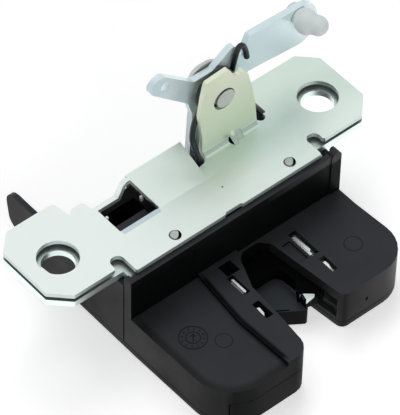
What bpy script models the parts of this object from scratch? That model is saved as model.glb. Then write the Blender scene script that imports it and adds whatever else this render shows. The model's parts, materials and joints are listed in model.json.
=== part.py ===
"""Tailgate lock: two steel plates, a moulded two-lobed housing with a striker mouth,
a claw catch with its pawl, and a release lever standing on a lug.

Axes: X along the bolt ears, -Y out of the striker mouth, Z up through the plates.
The origin lies on the flat underside, straight below the middle of the two bolt holes.
Lengths below are in millimetres, and MM turns them into metres in the meshes.
"""

import math

import bmesh
import bpy
from mathutils import Matrix, Vector

MM = 0.001
GAP = 0.3

# Plates and bolt holes
HOLE_SPACING = 100.0
PLATE_HOLE = 12.8
FRAME_HOLE = 10.2
EAR_END = 61.14
EAR_REAR = 17.15
EAR_FRONT = -14.13
PLATE_FRONT = -18.2
PLATE_TOP = 33.0
PLATE_SHEET = 1.5
PLATE_LOW = PLATE_TOP - PLATE_SHEET
FRAME_TOP = 30.1
FRAME_SHEET = 2.2
FRAME_LOW = FRAME_TOP - FRAME_SHEET
WEB_FRONT = -17.6
WEB_BACK = WEB_FRONT + FRAME_SHEET
FOOT_LOW = 2.3
FOOT_TOP = FOOT_LOW + FRAME_SHEET

# Moulded housing
COVER_TOP = 2.0
SKIRT_LOW = COVER_TOP + GAP
WALL = 1.8
ROOF_LOW = 13.0
ROOF_TOP = 15.0
LEDGE_TOP = 16.5
RIM_TOP = 31.2
REAR_TOP = 27.5
FLOOR_TOP = 6.2

# Catch and pawl
CATCH_AXIS = (23.0, -31.5)
PAWL_AXIS = (-11.0, -42.0)
CATCH_LOW = 6.8
CATCH_HIGH = 9.9
COVER_HIGH = 11.0
RETAINER_LOW = 11.3
RETAINER_HIGH = 12.6
PIN_RADIUS = 3.6
PAWL_PIN_RADIUS = 2.5

# Release lever on its lug
LEVER_AXIS = (16.0, 52.4)
LEVER_FRONT = 10.4
LEVER_SHEET = 2.2
LEVER_BACK = LEVER_FRONT + LEVER_SHEET
LUG_FRONT = 3.6
LUG_BACK = 5.1
LUG_HOLE = 7.9
LEVER_PIN = 6.5
SPRING_WIRE = 0.9
SPRING_RADIUS = 8.4

# Motor and wheel
MOTOR_AXIS = (2.0, 16.5)
MOTOR_RADIUS = 8.2
WHEEL_AXIS = (9.0, -7.6)
WHEEL_RADIUS = 6.5

LOOKS = {
    "plate_steel": ((0.80, 0.86, 0.84), 0.35, 1.0),
    "frame_steel": ((0.74, 0.77, 0.74), 0.38, 1.0),
    "lever_steel": ((0.62, 0.73, 0.76), 0.30, 1.0),
    "pin_steel": ((0.50, 0.52, 0.50), 0.35, 1.0),
    "spring_black": ((0.015, 0.017, 0.018), 0.45, 0.6),
    "housing_black": ((0.022, 0.025, 0.028), 0.50, 0.0),
    "cover_black": ((0.020, 0.022, 0.024), 0.55, 0.0),
    "jacket_black": ((0.016, 0.018, 0.022), 0.45, 0.0),
    "socket_white": ((0.78, 0.84, 0.84), 0.40, 0.0),
    "rubber_black": ((0.018, 0.018, 0.018), 0.85, 0.0),
    "gear_nylon": ((0.72, 0.70, 0.62), 0.45, 0.0),
    "motor_can": ((0.60, 0.61, 0.60), 0.32, 1.0),
    "switch_red": ((0.30, 0.03, 0.02), 0.50, 0.0),
    "contact_tin": ((0.70, 0.70, 0.66), 0.28, 1.0),
    "screw_zinc": ((0.55, 0.56, 0.52), 0.35, 1.0),
}


def clear_scene():
    for thing in list(bpy.data.objects):
        bpy.data.objects.remove(thing, do_unlink=True)


def look(name):
    known = bpy.data.materials.get(name)
    if known:
        return known
    colour, rough, metal = LOOKS[name]
    made = bpy.data.materials.new(name)
    made.use_nodes = True
    shader = made.node_tree.nodes["Principled BSDF"]
    shader.inputs["Base Color"].default_value = (*colour, 1.0)
    shader.inputs["Roughness"].default_value = rough
    shader.inputs["Metallic"].default_value = metal
    return made


def circle(x, y, radius, count=24):
    turn = 2.0 * math.pi / count
    return [(x + radius * math.cos(i * turn), y + radius * math.sin(i * turn)) for i in range(count)]


def rounded(corners, per_corner=4):
    """Outline through (x, y, radius) corners, each rounded by an arc of its radius."""
    points = []
    count = len(corners)
    for i in range(count):
        x, y, radius = corners[i]
        here = Vector((x, y))
        before = Vector(corners[i - 1][:2]) - here
        after = Vector(corners[(i + 1) % count][:2]) - here
        if radius <= 0.01:
            points.append((x, y))
            continue
        angle = before.angle(after)
        reach = radius / math.tan(angle / 2.0)
        reach = min(reach, before.length * 0.49, after.length * 0.49)
        true_radius = reach * math.tan(angle / 2.0)
        middle = (before.normalized() + after.normalized()).normalized()
        centre = here + middle * (true_radius / math.sin(angle / 2.0))
        start = here + before.normalized() * reach - centre
        end = here + after.normalized() * reach - centre
        first = math.atan2(start.y, start.x)
        sweep = math.atan2(end.y, end.x) - first
        while sweep > math.pi:
            sweep -= 2.0 * math.pi
        while sweep < -math.pi:
            sweep += 2.0 * math.pi
        steps = per_corner * 2 if true_radius > 8.0 else per_corner
        for k in range(steps + 1):
            at = first + sweep * k / steps
            points.append((centre.x + true_radius * math.cos(at), centre.y + true_radius * math.sin(at)))
    return points


def grown(corners, distance):
    """A counter-clockwise outline with every side moved outward by the distance."""
    result = []
    count = len(corners)
    for i in range(count):
        x, y, radius = corners[i]
        here = Vector((x, y))
        before = (here - Vector(corners[i - 1][:2])).normalized()
        after = (Vector(corners[(i + 1) % count][:2]) - here).normalized()
        left = Vector((before.y, -before.x))
        right = Vector((after.y, -after.x))
        bisector = (left + right).normalized()
        spread = max(bisector.dot(right), 0.3)
        moved = here + bisector * (distance / spread)
        convex = before.x * after.y - before.y * after.x > 0.0
        kept = radius + distance if convex else radius - distance
        result.append((moved.x, moved.y, max(kept, 0.0)))
    return result


def prism(name, outline, low, high, paint, plane="XY"):
    """A straight solid over an outline, drawn in the named plane."""
    mesh = bpy.data.meshes.new(name)
    shape = bmesh.new()
    for x, y in outline:
        if plane == "XY":
            place = (x, y, low)
        elif plane == "XZ":
            place = (x, low, y)
        else:
            place = (low, x, y)
        shape.verts.new([value * MM for value in place])
    face = shape.faces.new(shape.verts)
    grown_part = bmesh.ops.extrude_face_region(shape, geom=[face])
    lift = {"XY": (0, 0, 1), "XZ": (0, 1, 0), "YZ": (1, 0, 0)}[plane]
    travel = Vector(lift) * (high - low) * MM
    tops = [item for item in grown_part["geom"] if isinstance(item, bmesh.types.BMVert)]
    bmesh.ops.translate(shape, vec=travel, verts=tops)
    bmesh.ops.recalc_face_normals(shape, faces=shape.faces)
    shape.to_mesh(mesh)
    shape.free()
    made = bpy.data.objects.new(name, mesh)
    bpy.context.scene.collection.objects.link(made)
    mesh.materials.append(look(paint))
    return made


def block(name, low, high, paint):
    outline = [(low[0], low[1]), (high[0], low[1]), (high[0], high[1]), (low[0], high[1])]
    return prism(name, outline, low[2], high[2], paint)


def disc(name, centre, radius, low, high, paint, plane="XY", count=24):
    return prism(name, circle(centre[0], centre[1], radius, count), low, high, paint, plane)


def combine(target, tool, operation):
    """Joins the tool to the target, or cuts it out, and removes the tool."""
    step = target.modifiers.new("combine", "BOOLEAN")
    step.operation = operation
    step.solver = "EXACT"
    step.object = tool
    bpy.context.view_layer.update()
    graph = bpy.context.evaluated_depsgraph_get()
    result = bpy.data.meshes.new_from_object(target.evaluated_get(graph))
    target.modifiers.clear()
    target.data = result
    shape = bmesh.new()
    shape.from_mesh(result)
    bmesh.ops.remove_doubles(shape, verts=shape.verts, dist=0.000001)
    bmesh.ops.dissolve_degenerate(shape, edges=shape.edges, dist=0.000001)
    shape.to_mesh(result)
    shape.free()
    bpy.data.objects.remove(tool, do_unlink=True)
    return target


def join(target, *tools):
    for tool in tools:
        combine(target, tool, "UNION")
    return target


def cut(target, *tools):
    for tool in tools:
        combine(target, tool, "DIFFERENCE")
    return target


def keep(target, tool):
    return combine(target, tool, "INTERSECT")


def on_axis(thing, origin):
    """Moves the object's origin to its joint axis without moving the shape."""
    shift = Vector(origin) * MM
    thing.data.transform(Matrix.Translation(-shift))
    thing.location = shift
    return thing


def wire(name, path, radius, paint, sides=8):
    """A bent round wire with flat ends along the points of a path."""
    points = [Vector(point) * MM for point in path]
    mesh = bpy.data.meshes.new(name)
    shape = bmesh.new()
    rings = []
    side = None
    for i, point in enumerate(points):
        ahead = points[min(i + 1, len(points) - 1)] - points[max(i - 1, 0)]
        ahead.normalize()
        if side is None:
            side = ahead.orthogonal().normalized()
        side = (side - ahead * side.dot(ahead)).normalized()
        other = ahead.cross(side)
        ring = []
        for k in range(sides):
            at = 2.0 * math.pi * k / sides
            offset = side * math.cos(at) + other * math.sin(at)
            ring.append(shape.verts.new(point + offset * radius * MM))
        rings.append(ring)
    for first, second in zip(rings, rings[1:]):
        for k in range(sides):
            n = (k + 1) % sides
            shape.faces.new((first[k], first[n], second[n], second[k]))
    shape.faces.new(list(reversed(rings[0])))
    shape.faces.new(rings[-1])
    bmesh.ops.recalc_face_normals(shape, faces=shape.faces)
    shape.to_mesh(mesh)
    shape.free()
    made = bpy.data.objects.new(name, mesh)
    bpy.context.scene.collection.objects.link(made)
    mesh.materials.append(look(paint))
    return made


def turned(name, profile, paint, steps=24):
    """A solid of revolution about Z from (radius, height) points, bottom to top."""
    mesh = bpy.data.meshes.new(name)
    shape = bmesh.new()
    previous = [shape.verts.new((radius * MM, 0, height * MM)) for radius, height in profile]
    edges = [shape.edges.new((a, b)) for a, b in zip(previous, previous[1:])]
    bmesh.ops.spin(
        shape,
        geom=previous + edges,
        cent=(0, 0, 0),
        axis=(0, 0, 1),
        angle=2.0 * math.pi,
        steps=steps,
    )
    bmesh.ops.remove_doubles(shape, verts=shape.verts, dist=0.00001)
    bmesh.ops.recalc_face_normals(shape, faces=shape.faces)
    shape.to_mesh(mesh)
    shape.free()
    made = bpy.data.objects.new(name, mesh)
    bpy.context.scene.collection.objects.link(made)
    mesh.materials.append(look(paint))
    return made


def polar(centre, radius, degrees):
    at = math.radians(degrees)
    return (centre[0] + radius * math.cos(at), centre[1] + radius * math.sin(at))


# Outline of the lobed part of the housing, counter-clockwise from the rear left
LOBES = [
    (-39.2, -16.9, 0.0),
    (-39.2, -22.0, 0.0),
    (-38.5, -61.8, 13.0),
    (-6.9, -62.0, 5.0),
    (-5.2, -44.0, 0.0),
    (-4.6, -33.9, 0.0),
    (-0.4, -23.6, 3.0),
    (2.6, -20.9, 2.5),
    (8.6, -20.9, 2.5),
    (11.5, -23.8, 2.5),
    (13.1, -39.4, 0.0),
    (14.6, -52.8, 2.5),
    (43.0, -53.0, 13.0),
    (41.4, -28.0, 0.0),
    (41.4, -16.9, 0.0),
]


def lobes_back_to(rear):
    """The lobes' outline with its straight rear edge moved to another Y."""
    return [(LOBES[0][0], rear, 0.0)] + LOBES[1:-1] + [(LOBES[-1][0], rear, 0.0)]


def plate_outline():
    """Upper plate, counter-clockwise from the front left of the middle strip."""
    return [
        (-35.5, PLATE_FRONT, 0.8),
        (-2.0, PLATE_FRONT, 0.0),
        (-1.4, PLATE_FRONT + 0.6, 0.0),
        (4.2, PLATE_FRONT + 0.6, 0.0),
        (4.8, PLATE_FRONT, 0.0),
        (35.5, PLATE_FRONT, 0.8),
        (35.5, -10.0, 2.1),
        (39.9, -10.0, 2.1),
        (39.9, EAR_FRONT, 0.8),
        (EAR_END - 5.9, EAR_FRONT, 0.8),
        (EAR_END, EAR_FRONT + 5.9, 0.8),
        (EAR_END, EAR_REAR - 5.6, 0.8),
        (EAR_END - 5.6, EAR_REAR, 0.8),
        (33.8, EAR_REAR, 0.8),
        (33.8, LUG_BACK, 0.5),
        (7.4, LUG_BACK, 0.0),
        (7.4, 1.0, 2.1),
        (2.9, 1.0, 2.1),
        (2.9, -3.9, 0.0),
        (-15.3, -3.9, 0.6),
        (-29.9, -3.9, 0.8),
        (-29.9, 8.4, 0.0),
        (-30.9, 8.4, 0.2),
        (-31.0, 12.0, 1.3),
        (-35.6, 12.2, 1.3),
        (-37.2, 10.0, 0.3),
        (-38.3, EAR_REAR, 1.2),
        (-EAR_END + 5.6, EAR_REAR, 0.8),
        (-EAR_END, EAR_REAR - 5.6, 0.8),
        (-EAR_END, EAR_FRONT + 5.9, 0.8),
        (-EAR_END + 5.9, EAR_FRONT, 0.8),
        (-39.9, EAR_FRONT, 0.8),
        (-39.9, -10.0, 2.1),
        (-35.5, -10.0, 2.1),
    ]


def make_mounting_plate():
    paint = "plate_steel"
    plate = prism("mounting_plate", rounded(plate_outline()), PLATE_LOW, PLATE_TOP, paint)
    ramp_rise = 5.5
    ramp = [
        (-5.5, PLATE_LOW),
        (-3.8, PLATE_LOW),
        (8.4, PLATE_LOW + ramp_rise),
        (8.4, PLATE_TOP + ramp_rise),
        (-4.1, PLATE_TOP),
        (-5.5, PLATE_TOP),
    ]
    slope = prism("ramp", ramp, -18.6, 2.9, paint, "YZ")
    beside = [(-20.0, -7.0), (-15.3, -7.0), (-15.3, -3.9), (-18.1, 8.5), (-18.1, 10.0), (-20.0, 10.0)]
    cut(slope, prism("beside", beside, PLATE_LOW - 1, PLATE_TOP + 8, paint))
    join(plate, slope)
    strip = [
        (-30.2, PLATE_LOW),
        (-21.4, PLATE_LOW),
        (-19.2, PLATE_LOW + 4.5),
        (-17.0, PLATE_LOW + 5.1),
        (-17.0, PLATE_TOP + 5.0),
        (-18.9, PLATE_TOP + 4.8),
        (-20.2, PLATE_TOP + 4.0),
        (-22.2, PLATE_TOP),
        (-30.2, PLATE_TOP),
    ]
    join(plate, prism("strip", strip, 6.6, 8.4, paint, "XZ"))
    lip = [
        (-5.2, PLATE_LOW),
        (-5.2, PLATE_TOP),
        (-3.9, PLATE_TOP),
        (-2.6, PLATE_TOP - 0.6),
        (-1.7, PLATE_TOP - 2.0),
        (-1.9, PLATE_TOP - 2.6),
        (-3.4, PLATE_TOP - 1.9),
        (-4.2, PLATE_LOW),
    ]
    join(plate, prism("lip", lip, -29.2, -16.2, paint, "YZ"))
    lug = [
        (7.4, PLATE_LOW, 0.0),
        (29.1, PLATE_LOW, 0.0),
        (27.9, 42.7, 0.0),
        (26.3, 51.0, 4.0),
        (24.6, 57.4, 2.0),
        (22.6, 60.4, 0.8),
        (21.0, 58.8, 0.5),
        (19.2, 59.6, 0.8),
        (17.8, 62.6, 0.8),
        (16.8, 64.1, 0.8),
        (8.4, 63.4, 1.0),
        (7.2, 57.5, 3.0),
        (6.2, 50.6, 3.0),
        (7.4, 41.0, 4.0),
    ]
    join(plate, prism("lug", rounded(lug), LUG_FRONT, LUG_BACK, paint, "XZ"))
    bend = 2.0
    fillet = [(LUG_FRONT + 0.5, PLATE_LOW + 0.5), (LUG_FRONT + 0.5, PLATE_TOP + bend)]
    for k in range(5):
        at = math.radians(90.0 * k / 4)
        across = LUG_FRONT - bend * (1.0 - math.cos(at))
        up = PLATE_TOP + bend * (1.0 - math.sin(at))
        fillet.append((across, up))
    fillet.append((LUG_FRONT - bend, PLATE_LOW + 0.5))
    join(plate, prism("bend", fillet, 7.8, 28.6, paint, "YZ"))
    dart = [(0.2, PLATE_TOP - 0.5), (0.2, PLATE_TOP), (4.2, PLATE_TOP + 5.0), (4.2, PLATE_TOP - 0.5)]
    join(plate, prism("dart", dart, 19.6, 22.0, paint, "YZ"))
    lug_hole = disc("lug_hole", (15.6, LEVER_AXIS[1]), LUG_HOLE / 2, LUG_FRONT - 1, LUG_BACK + 1, paint, "XZ", 32)
    cut(plate, lug_hole)
    for side in (-1, 1):
        centre = (side * HOLE_SPACING / 2, 0.0)
        cut(plate, disc("bolt_hole", centre, PLATE_HOLE / 2, PLATE_LOW - 1, PLATE_TOP + 1, paint, "XY", 40))
    cut(plate, disc("relief", (31.1, 4.6), 1.5, PLATE_LOW - 1, PLATE_TOP + 3, paint))
    for centre in RIVETS:
        cut(plate, disc("rivet_hole", centre, 1.9, PLATE_LOW - 1, PLATE_TOP + 1, paint, "XY", 20))
    return plate


RIVETS = [(-18.4, -14.9), (26.0, -14.6)]


def make_frame():
    """The thick latch frame: ears, front web in two legs, and the foot under the lobes."""
    paint = "frame_steel"
    leg = 37.2
    flange = [
        (-leg, -14.6, 0.0),
        (leg, -14.6, 0.0),
        (leg, EAR_FRONT, 0.0),
        (EAR_END - 5.9, EAR_FRONT, 0.8),
        (EAR_END, EAR_FRONT + 5.9, 0.8),
        (EAR_END, EAR_REAR - 5.6, 0.8),
        (EAR_END - 5.6, EAR_REAR, 0.8),
        (35.4, EAR_REAR, 0.8),
        (35.4, -6.4, 3.0),
        (-31.6, -6.4, 3.0),
        (-31.6, 9.6, 1.0),
        (-37.2, 9.0, 1.0),
        (-38.3, EAR_REAR, 1.2),
        (-EAR_END + 5.6, EAR_REAR, 0.8),
        (-EAR_END, EAR_REAR - 5.6, 0.8),
        (-EAR_END, EAR_FRONT + 5.9, 0.8),
        (-EAR_END + 5.9, EAR_FRONT, 0.8),
        (-leg, EAR_FRONT, 0.0),
    ]
    frame = prism("latch_frame", rounded(flange), FRAME_LOW, FRAME_TOP, paint)
    sheet = [
        (-13.0, FRAME_TOP, 0.0),
        (WEB_FRONT, FRAME_TOP, 3.0),
        (WEB_FRONT, FOOT_TOP, 0.8),
        (-19.4, FOOT_TOP, 0.0),
        (-19.4, FOOT_LOW, 0.0),
        (WEB_BACK, FOOT_LOW, 3.0),
        (WEB_BACK, FRAME_LOW, 0.8),
        (-13.0, FRAME_LOW, 0.0),
    ]
    foot = prism("foot", rounded(grown(lobes_back_to(-13.0), -WALL - 0.5)), FOOT_LOW, FOOT_TOP, paint)
    keep(foot, block("foot_limit", (-36.6, -55.0, 0.0), (39.0, -15.4, 9.0), paint))
    join(frame, prism("leg_left", rounded(sheet), -leg, -22.0, paint, "YZ"))
    join(frame, prism("leg_right", rounded(sheet), 14.0, leg, paint, "YZ"))
    join(frame, foot)
    for side in (-1, 1):
        centre = (side * HOLE_SPACING / 2, 0.0)
        cut(frame, disc("bolt_hole", centre, FRAME_HOLE / 2, FRAME_LOW - 1, FRAME_TOP + 1, paint, "XY", 40))
    for centre in RIVETS:
        cut(frame, disc("rivet_hole", centre, 1.9, FRAME_LOW - 1, FRAME_TOP + 1, paint, "XY", 20))
    cut(frame, disc("catch_bore", CATCH_AXIS, PIN_RADIUS + GAP, 0, 9, paint))
    cut(frame, disc("pawl_bore", PAWL_AXIS, PAWL_PIN_RADIUS + GAP, 0, 9, paint))
    for centre in SCREWS:
        cut(frame, disc("screw_bore", centre, 3.8, 0, 9, paint, "XY", 16))
    return frame


SCREWS = [(-33.2, -27.0), (36.2, -23.4), (-26.5, -50.5)]


def make_front_housing():
    """Roof and skirts of both lobes, the striker mouth, and the tall front wall."""
    paint = "housing_black"
    body = prism("front_housing", rounded(LOBES), SKIRT_LOW, ROOF_TOP, paint)
    ledge = prism("ledge", rounded(LOBES), ROOF_TOP - 1.0, LEDGE_TOP, paint)
    inside = [(-13.6, -19.0), (-15.9, -40.9), (-15.0, -64.0), (1.0, -64.0), (1.0, -19.0)]
    keep(ledge, prism("ledge_limit", inside, 10.0, 20.0, paint))
    join(body, ledge)
    join(body, block("front_wall", (-39.2, -20.0, ROOF_TOP - 1.0), (41.4, -18.0, RIM_TOP), paint))
    join(body, block("left_return", (-39.2, -19.0, ROOF_TOP - 1.0), (-37.6, -16.9, RIM_TOP), paint))
    join(body, block("right_return", (39.8, -19.0, ROOF_TOP - 1.0), (41.4, -16.9, RIM_TOP), paint))
    post = [(37.8, ROOF_TOP - 1.0, 0.0), (41.6, ROOF_TOP - 1.0, 0.0), (41.6, RIM_TOP + 1.0, 1.7), (37.8, RIM_TOP + 1.0, 1.7)]
    join(body, prism("end_post", rounded(post), -20.4, -17.3, paint, "XZ"))
    inner = prism("inner", rounded(grown(lobes_back_to(-14.0), -WALL)), SKIRT_LOW - 1, ROOF_LOW, paint)
    cut(body, inner)
    cut(body, block("rear_mouth", (-37.4, -19.2, SKIRT_LOW - 1), (39.6, -16.0, ROOF_LOW), paint))
    cut(body, block("web_room", (-37.6, -18.0, ROOF_LOW - 1), (39.8, -16.0, RIM_TOP + 2), paint))
    for x_low, x_high, y_low, y_high in WINDOWS:
        low = (x_low, y_low, ROOF_LOW - 1)
        cut(body, block("window", low, (x_high, y_high, LEDGE_TOP + 1), paint))
    cut(body, block("catch_way", (9.0, -50.4, 3.5), (19.0, -24.0, COVER_HIGH + GAP), paint))
    cut(body, block("corner_way", (9.4, -26.0, 6.3), (19.0, -21.4, COVER_HIGH + GAP), paint))
    cut(body, block("finger_way", (-9.0, -45.0, 6.4), (1.6, -22.4, COVER_HIGH + GAP), paint))
    cut(body, block("deep_pocket", (-7.6, -26.4, ROOF_TOP - 0.2), (-3.0, -21.8, LEDGE_TOP + 1), paint))
    cut(body, block("side_pocket", (13.2, -35.0, ROOF_TOP - 0.7), (16.4, -26.5, ROOF_TOP + 1), paint))
    for centre in SCREWS:
        boss = disc("boss", centre, 3.4, SKIRT_LOW + 0.4, ROOF_TOP - 1.0, paint, "XY", 20)
        cut(boss, disc("boss_bore", centre, 1.4 + GAP, 0, 12.0, paint, "XY", 16))
        join(body, boss)
    recess = prism("recess", rounded(grown(LOBES, 1.0)), SKIRT_LOW - 1, 9.3, paint)
    cut(recess, prism("recess_core", rounded(grown(LOBES, -1.2)), 0, 10, paint))
    keep(recess, block("recess_limit", (-34.4, -64.0, 0.0), (-8.2, -54.1, 12.0), paint))
    cut(body, recess)
    return body


WINDOWS = [
    (-8.5, -6.1, -34.7, -26.7),
    (-9.1, -6.5, -45.5, -38.8),
    (17.4, 20.4, -35.2, -24.4),
    (18.5, 20.5, -43.5, -37.2),
]


def make_base_cover():
    """Flat underside with the raised mouth floor and the curved lip at the left lobe."""
    paint = "cover_black"
    outline = LOBES[1:-1] + [(41.2, 19.3, 2.0), (-39.2, 19.3, 2.0)]
    cover = prism("base_cover", rounded(outline), 0.0, COVER_TOP, paint)
    for centre in SCREWS:
        cut(cover, disc("screw_hole", centre, 1.4 + GAP, -1, 4, paint, "XY", 16))
        cut(cover, disc("head_sink", centre, 3.0 + GAP, -1, 1.3, paint, "XY", 20))
    floor = [
        (-4.7, -36.0, 0.4),
        (8.0, -44.8, 1.2),
        (9.3, -43.2, 1.0),
        (9.6, -25.0, 1.5),
        (7.8, -21.5, 1.5),
        (3.2, -21.3, 1.5),
        (0.1, -23.6, 1.5),
        (-4.0, -33.9, 0.0),
    ]
    room = [
        (-2.9, -35.0),
        (7.2, -42.2),
        (7.9, -41.4),
        (7.9, -25.4),
        (6.9, -23.0),
        (3.9, -23.0),
        (1.6, -24.6),
        (-2.4, -33.8),
    ]
    bridge = [(-7.0, -35.5), (8.6, -44.0), (9.1, -43.2), (9.4, -22.0), (13.0, -19.0), (-3.0, -19.0)]
    apron = prism("apron", bridge, 0.0, COVER_TOP, paint)
    cut(apron, prism("apron_room", room, -1.0, FLOOR_TOP - 1.6, paint))
    table = prism("table", rounded(floor), 0.0, FLOOR_TOP, paint)
    cut(table, prism("table_room", room, -1.0, FLOOR_TOP - 1.6, paint))
    join(cover, apron, table)
    lip = prism("lip", rounded(LOBES), COVER_TOP - 1.0, 9.0, paint)
    cut(lip, prism("lip_core", rounded(grown(LOBES, -0.9)), 0, 10, paint))
    keep(lip, block("lip_limit", (-34.0, -64.0, 0.0), (-8.6, -54.5, 12.0), paint))
    join(cover, lip)
    return cover


def make_rear_housing():
    """Gear box behind the web: connector well, lever way, low rear step and side fin."""
    paint = "housing_black"
    outline = [
        (-39.3, -16.6, 0.0),
        (-37.6, -16.6, 0.0),
        (-37.6, -15.1, 0.0),
        (39.6, -15.1, 0.0),
        (39.6, -16.6, 0.0),
        (41.3, -16.6, 0.0),
        (41.3, 14.6, 2.0),
        (-12.6, 14.6, 0.0),
        (-12.6, 11.9, 0.0),
        (-39.3, 11.9, 2.0),
    ]
    body = prism("rear_housing", rounded(outline), SKIRT_LOW, REAR_TOP, paint)
    step = [(-39.3, 9.0, 0.0), (41.3, 9.0, 0.0), (41.3, 19.3, 2.5), (-39.3, 19.3, 2.5)]
    join(body, prism("step", rounded(step), SKIRT_LOW, 15.0, paint))
    cut(body, block("inner_left", (-37.5, -17.0, 0.0), (-10.0, 10.1, REAR_TOP - WALL), paint))
    cut(body, block("inner_right", (-10.8, -17.0, 0.0), (39.5, 12.9, REAR_TOP - WALL), paint))
    cut(body, block("step_inner", (-37.5, 8.0, 0.0), (39.5, 17.5, 15.0 - WALL), paint))
    join(body, block("well", (-31.0, -5.2, 10.4), (-13.8, 10.6, REAR_TOP - 0.5), paint))
    cut(body, block("well_room", (-29.4, -0.8, 12.0), (-15.4, 7.6, REAR_TOP + 1), paint))
    for x in TERMINALS:
        cut(body, block("pin_way", (x - 1.3, 1.3, 8.0), (x + 1.3, 2.7, 14.0), paint))
    cut(body, block("lever_way", (-10.2, 8.9, 20.0), (15.0, 16.0, REAR_TOP + 1), paint))
    fin = [
        (13.0, 7.5, 0.0),
        (28.0, 6.8, 3.0),
        (35.2, 12.0, 4.0),
        (37.0, 24.0, 4.0),
        (20.0, 24.0, 3.0),
        (13.0, 20.0, 0.0),
    ]
    join(body, prism("fin", rounded(fin), -40.8, -39.0, paint, "YZ"))
    return body


TERMINALS = [-27.0, -24.1, -21.2, -18.3]


def hub_radius(degrees):
    """The catch hub swells steadily round its east side, as the switch cam."""
    return 9.0 + 0.8 * max(-1.0, min(1.0, degrees / CATCH_SWING))


def catch_corners():
    """Closed catch seen from above, measured from its own axis, counter-clockwise."""
    corners = []
    for degrees in range(-84, 97, 12):
        x, y = polar((0.0, 0.0), hub_radius(degrees), degrees)
        corners.append((x, y, 0.0))
    corners += [
        (-9.0, 9.0, 3.0),
        (-22.0, 7.2, 2.0),
        (-28.6, 7.2, 0.4),
        (-29.2, 4.2, 0.4),
        (-21.0, 3.2, 0.0),
        (-12.4, 3.2, 4.0),
        (-12.2, -6.0, 3.0),
        (-14.8, -9.6, 0.3),
        (-15.4, -12.6, 0.3),
        (-11.0, -13.4, 0.6),
        (-6.0, -9.6, 3.0),
    ]
    return corners


def at_catch(corners):
    return [(CATCH_AXIS[0] + x, CATCH_AXIS[1] + y, radius) for x, y, radius in corners]


def make_catch():
    paint = "frame_steel"
    steel = prism("catch", rounded(at_catch(catch_corners())), CATCH_LOW, CATCH_HIGH, paint)
    tip = [(-14.75, -10.3, 0.2), (-15.4, -12.6, 0.3), (-11.2, -13.3, 0.4)]
    join(steel, prism("bare_tip", rounded(at_catch(tip)), CATCH_HIGH - 1.0, COVER_HIGH, paint))
    cut(steel, disc("bore", CATCH_AXIS, PIN_RADIUS + GAP, 0, 20, paint, "XY", 28))
    return on_axis(steel, (*CATCH_AXIS, CATCH_LOW))


def make_catch_cover():
    paint = "jacket_black"
    outline = at_catch(catch_corners())
    jacket = prism("catch_cover", rounded(grown(outline, 1.0)), CATCH_LOW - 0.2, COVER_HIGH, paint)
    room = prism("room", rounded(grown(outline, GAP)), 0, CATCH_HIGH + GAP, paint)
    cut(jacket, room)
    bare = [(-17.5, -7.5, 0.0), (-17.5, -16.5, 0.0), (-6.6, -16.5, 0.0)]
    cut(jacket, prism("bare", rounded(at_catch(bare)), 0, 20, paint))
    bare_end = [(-32.0, 1.0), (-27.0, 1.0), (-27.0, 10.0), (-32.0, 10.0)]
    moved = [(CATCH_AXIS[0] + x, CATCH_AXIS[1] + y) for x, y in bare_end]
    cut(jacket, prism("bare_end", moved, 0, 20, paint))
    cut(jacket, disc("bore", CATCH_AXIS, PIN_RADIUS + 1.4, 0, 20, paint, "XY", 28))
    return on_axis(jacket, (*CATCH_AXIS, CATCH_LOW))


def make_pawl():
    corners = [
        (-6.9, -40.6, 2.0),
        (-8.6, -34.0, 1.0),
        (-8.2, -27.6, 0.4),
        (-9.4, -25.4, 0.5),
        (-10.4, -27.4, 0.5),
        (-10.6, -21.0, 1.0),
        (-8.6, -17.4, 3.0),
        (2.4, 1.0, 4.0),
        (5.6, 12.0, 1.2),
        (1.4, 12.2, 1.2),
        (-1.4, 3.0, 4.0),
        (-12.6, -15.8, 4.0),
        (-14.4, -22.0, 3.0),
        (-15.4, -42.5, 4.2),
        (-12.0, -46.4, 4.0),
        (-6.8, -45.4, 4.0),
    ]
    paint = "frame_steel"
    steel = prism("pawl", rounded(corners), CATCH_LOW, CATCH_HIGH - 0.6, paint)
    cut(steel, disc("bore", PAWL_AXIS, PAWL_PIN_RADIUS + GAP, 0, 20, paint, "XY", 28))
    return on_axis(steel, (*PAWL_AXIS, CATCH_LOW))


def make_pins():
    paint = "pin_steel"
    low = FOOT_LOW + 0.1
    high = ROOF_LOW - GAP
    disc("catch_pin", CATCH_AXIS, PIN_RADIUS, low, high, paint, "XY", 28)
    disc("pawl_pin", PAWL_AXIS, PAWL_PIN_RADIUS, low, high, paint, "XY", 28)
    for number, centre in enumerate(RIVETS, 1):
        disc(f"plate_rivet_{number}", centre, 1.6, FRAME_LOW + 0.1, PLATE_TOP + 0.35, paint, "XY", 20)
    for number, centre in enumerate(SCREWS, 1):
        screw = disc(f"cover_screw_{number}", centre, 1.4, 0.9, 11.6, "screw_zinc", "XY", 16)
        head = disc("head", centre, 3.0, 0.25, 1.0, "screw_zinc", "XY", 20)
        join(screw, head)
    disc("pawl_buffer", (-22.5, -20.5), 2.2, FOOT_TOP + GAP, ROOF_LOW - GAP, "rubber_black", "XY", 20)


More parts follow.
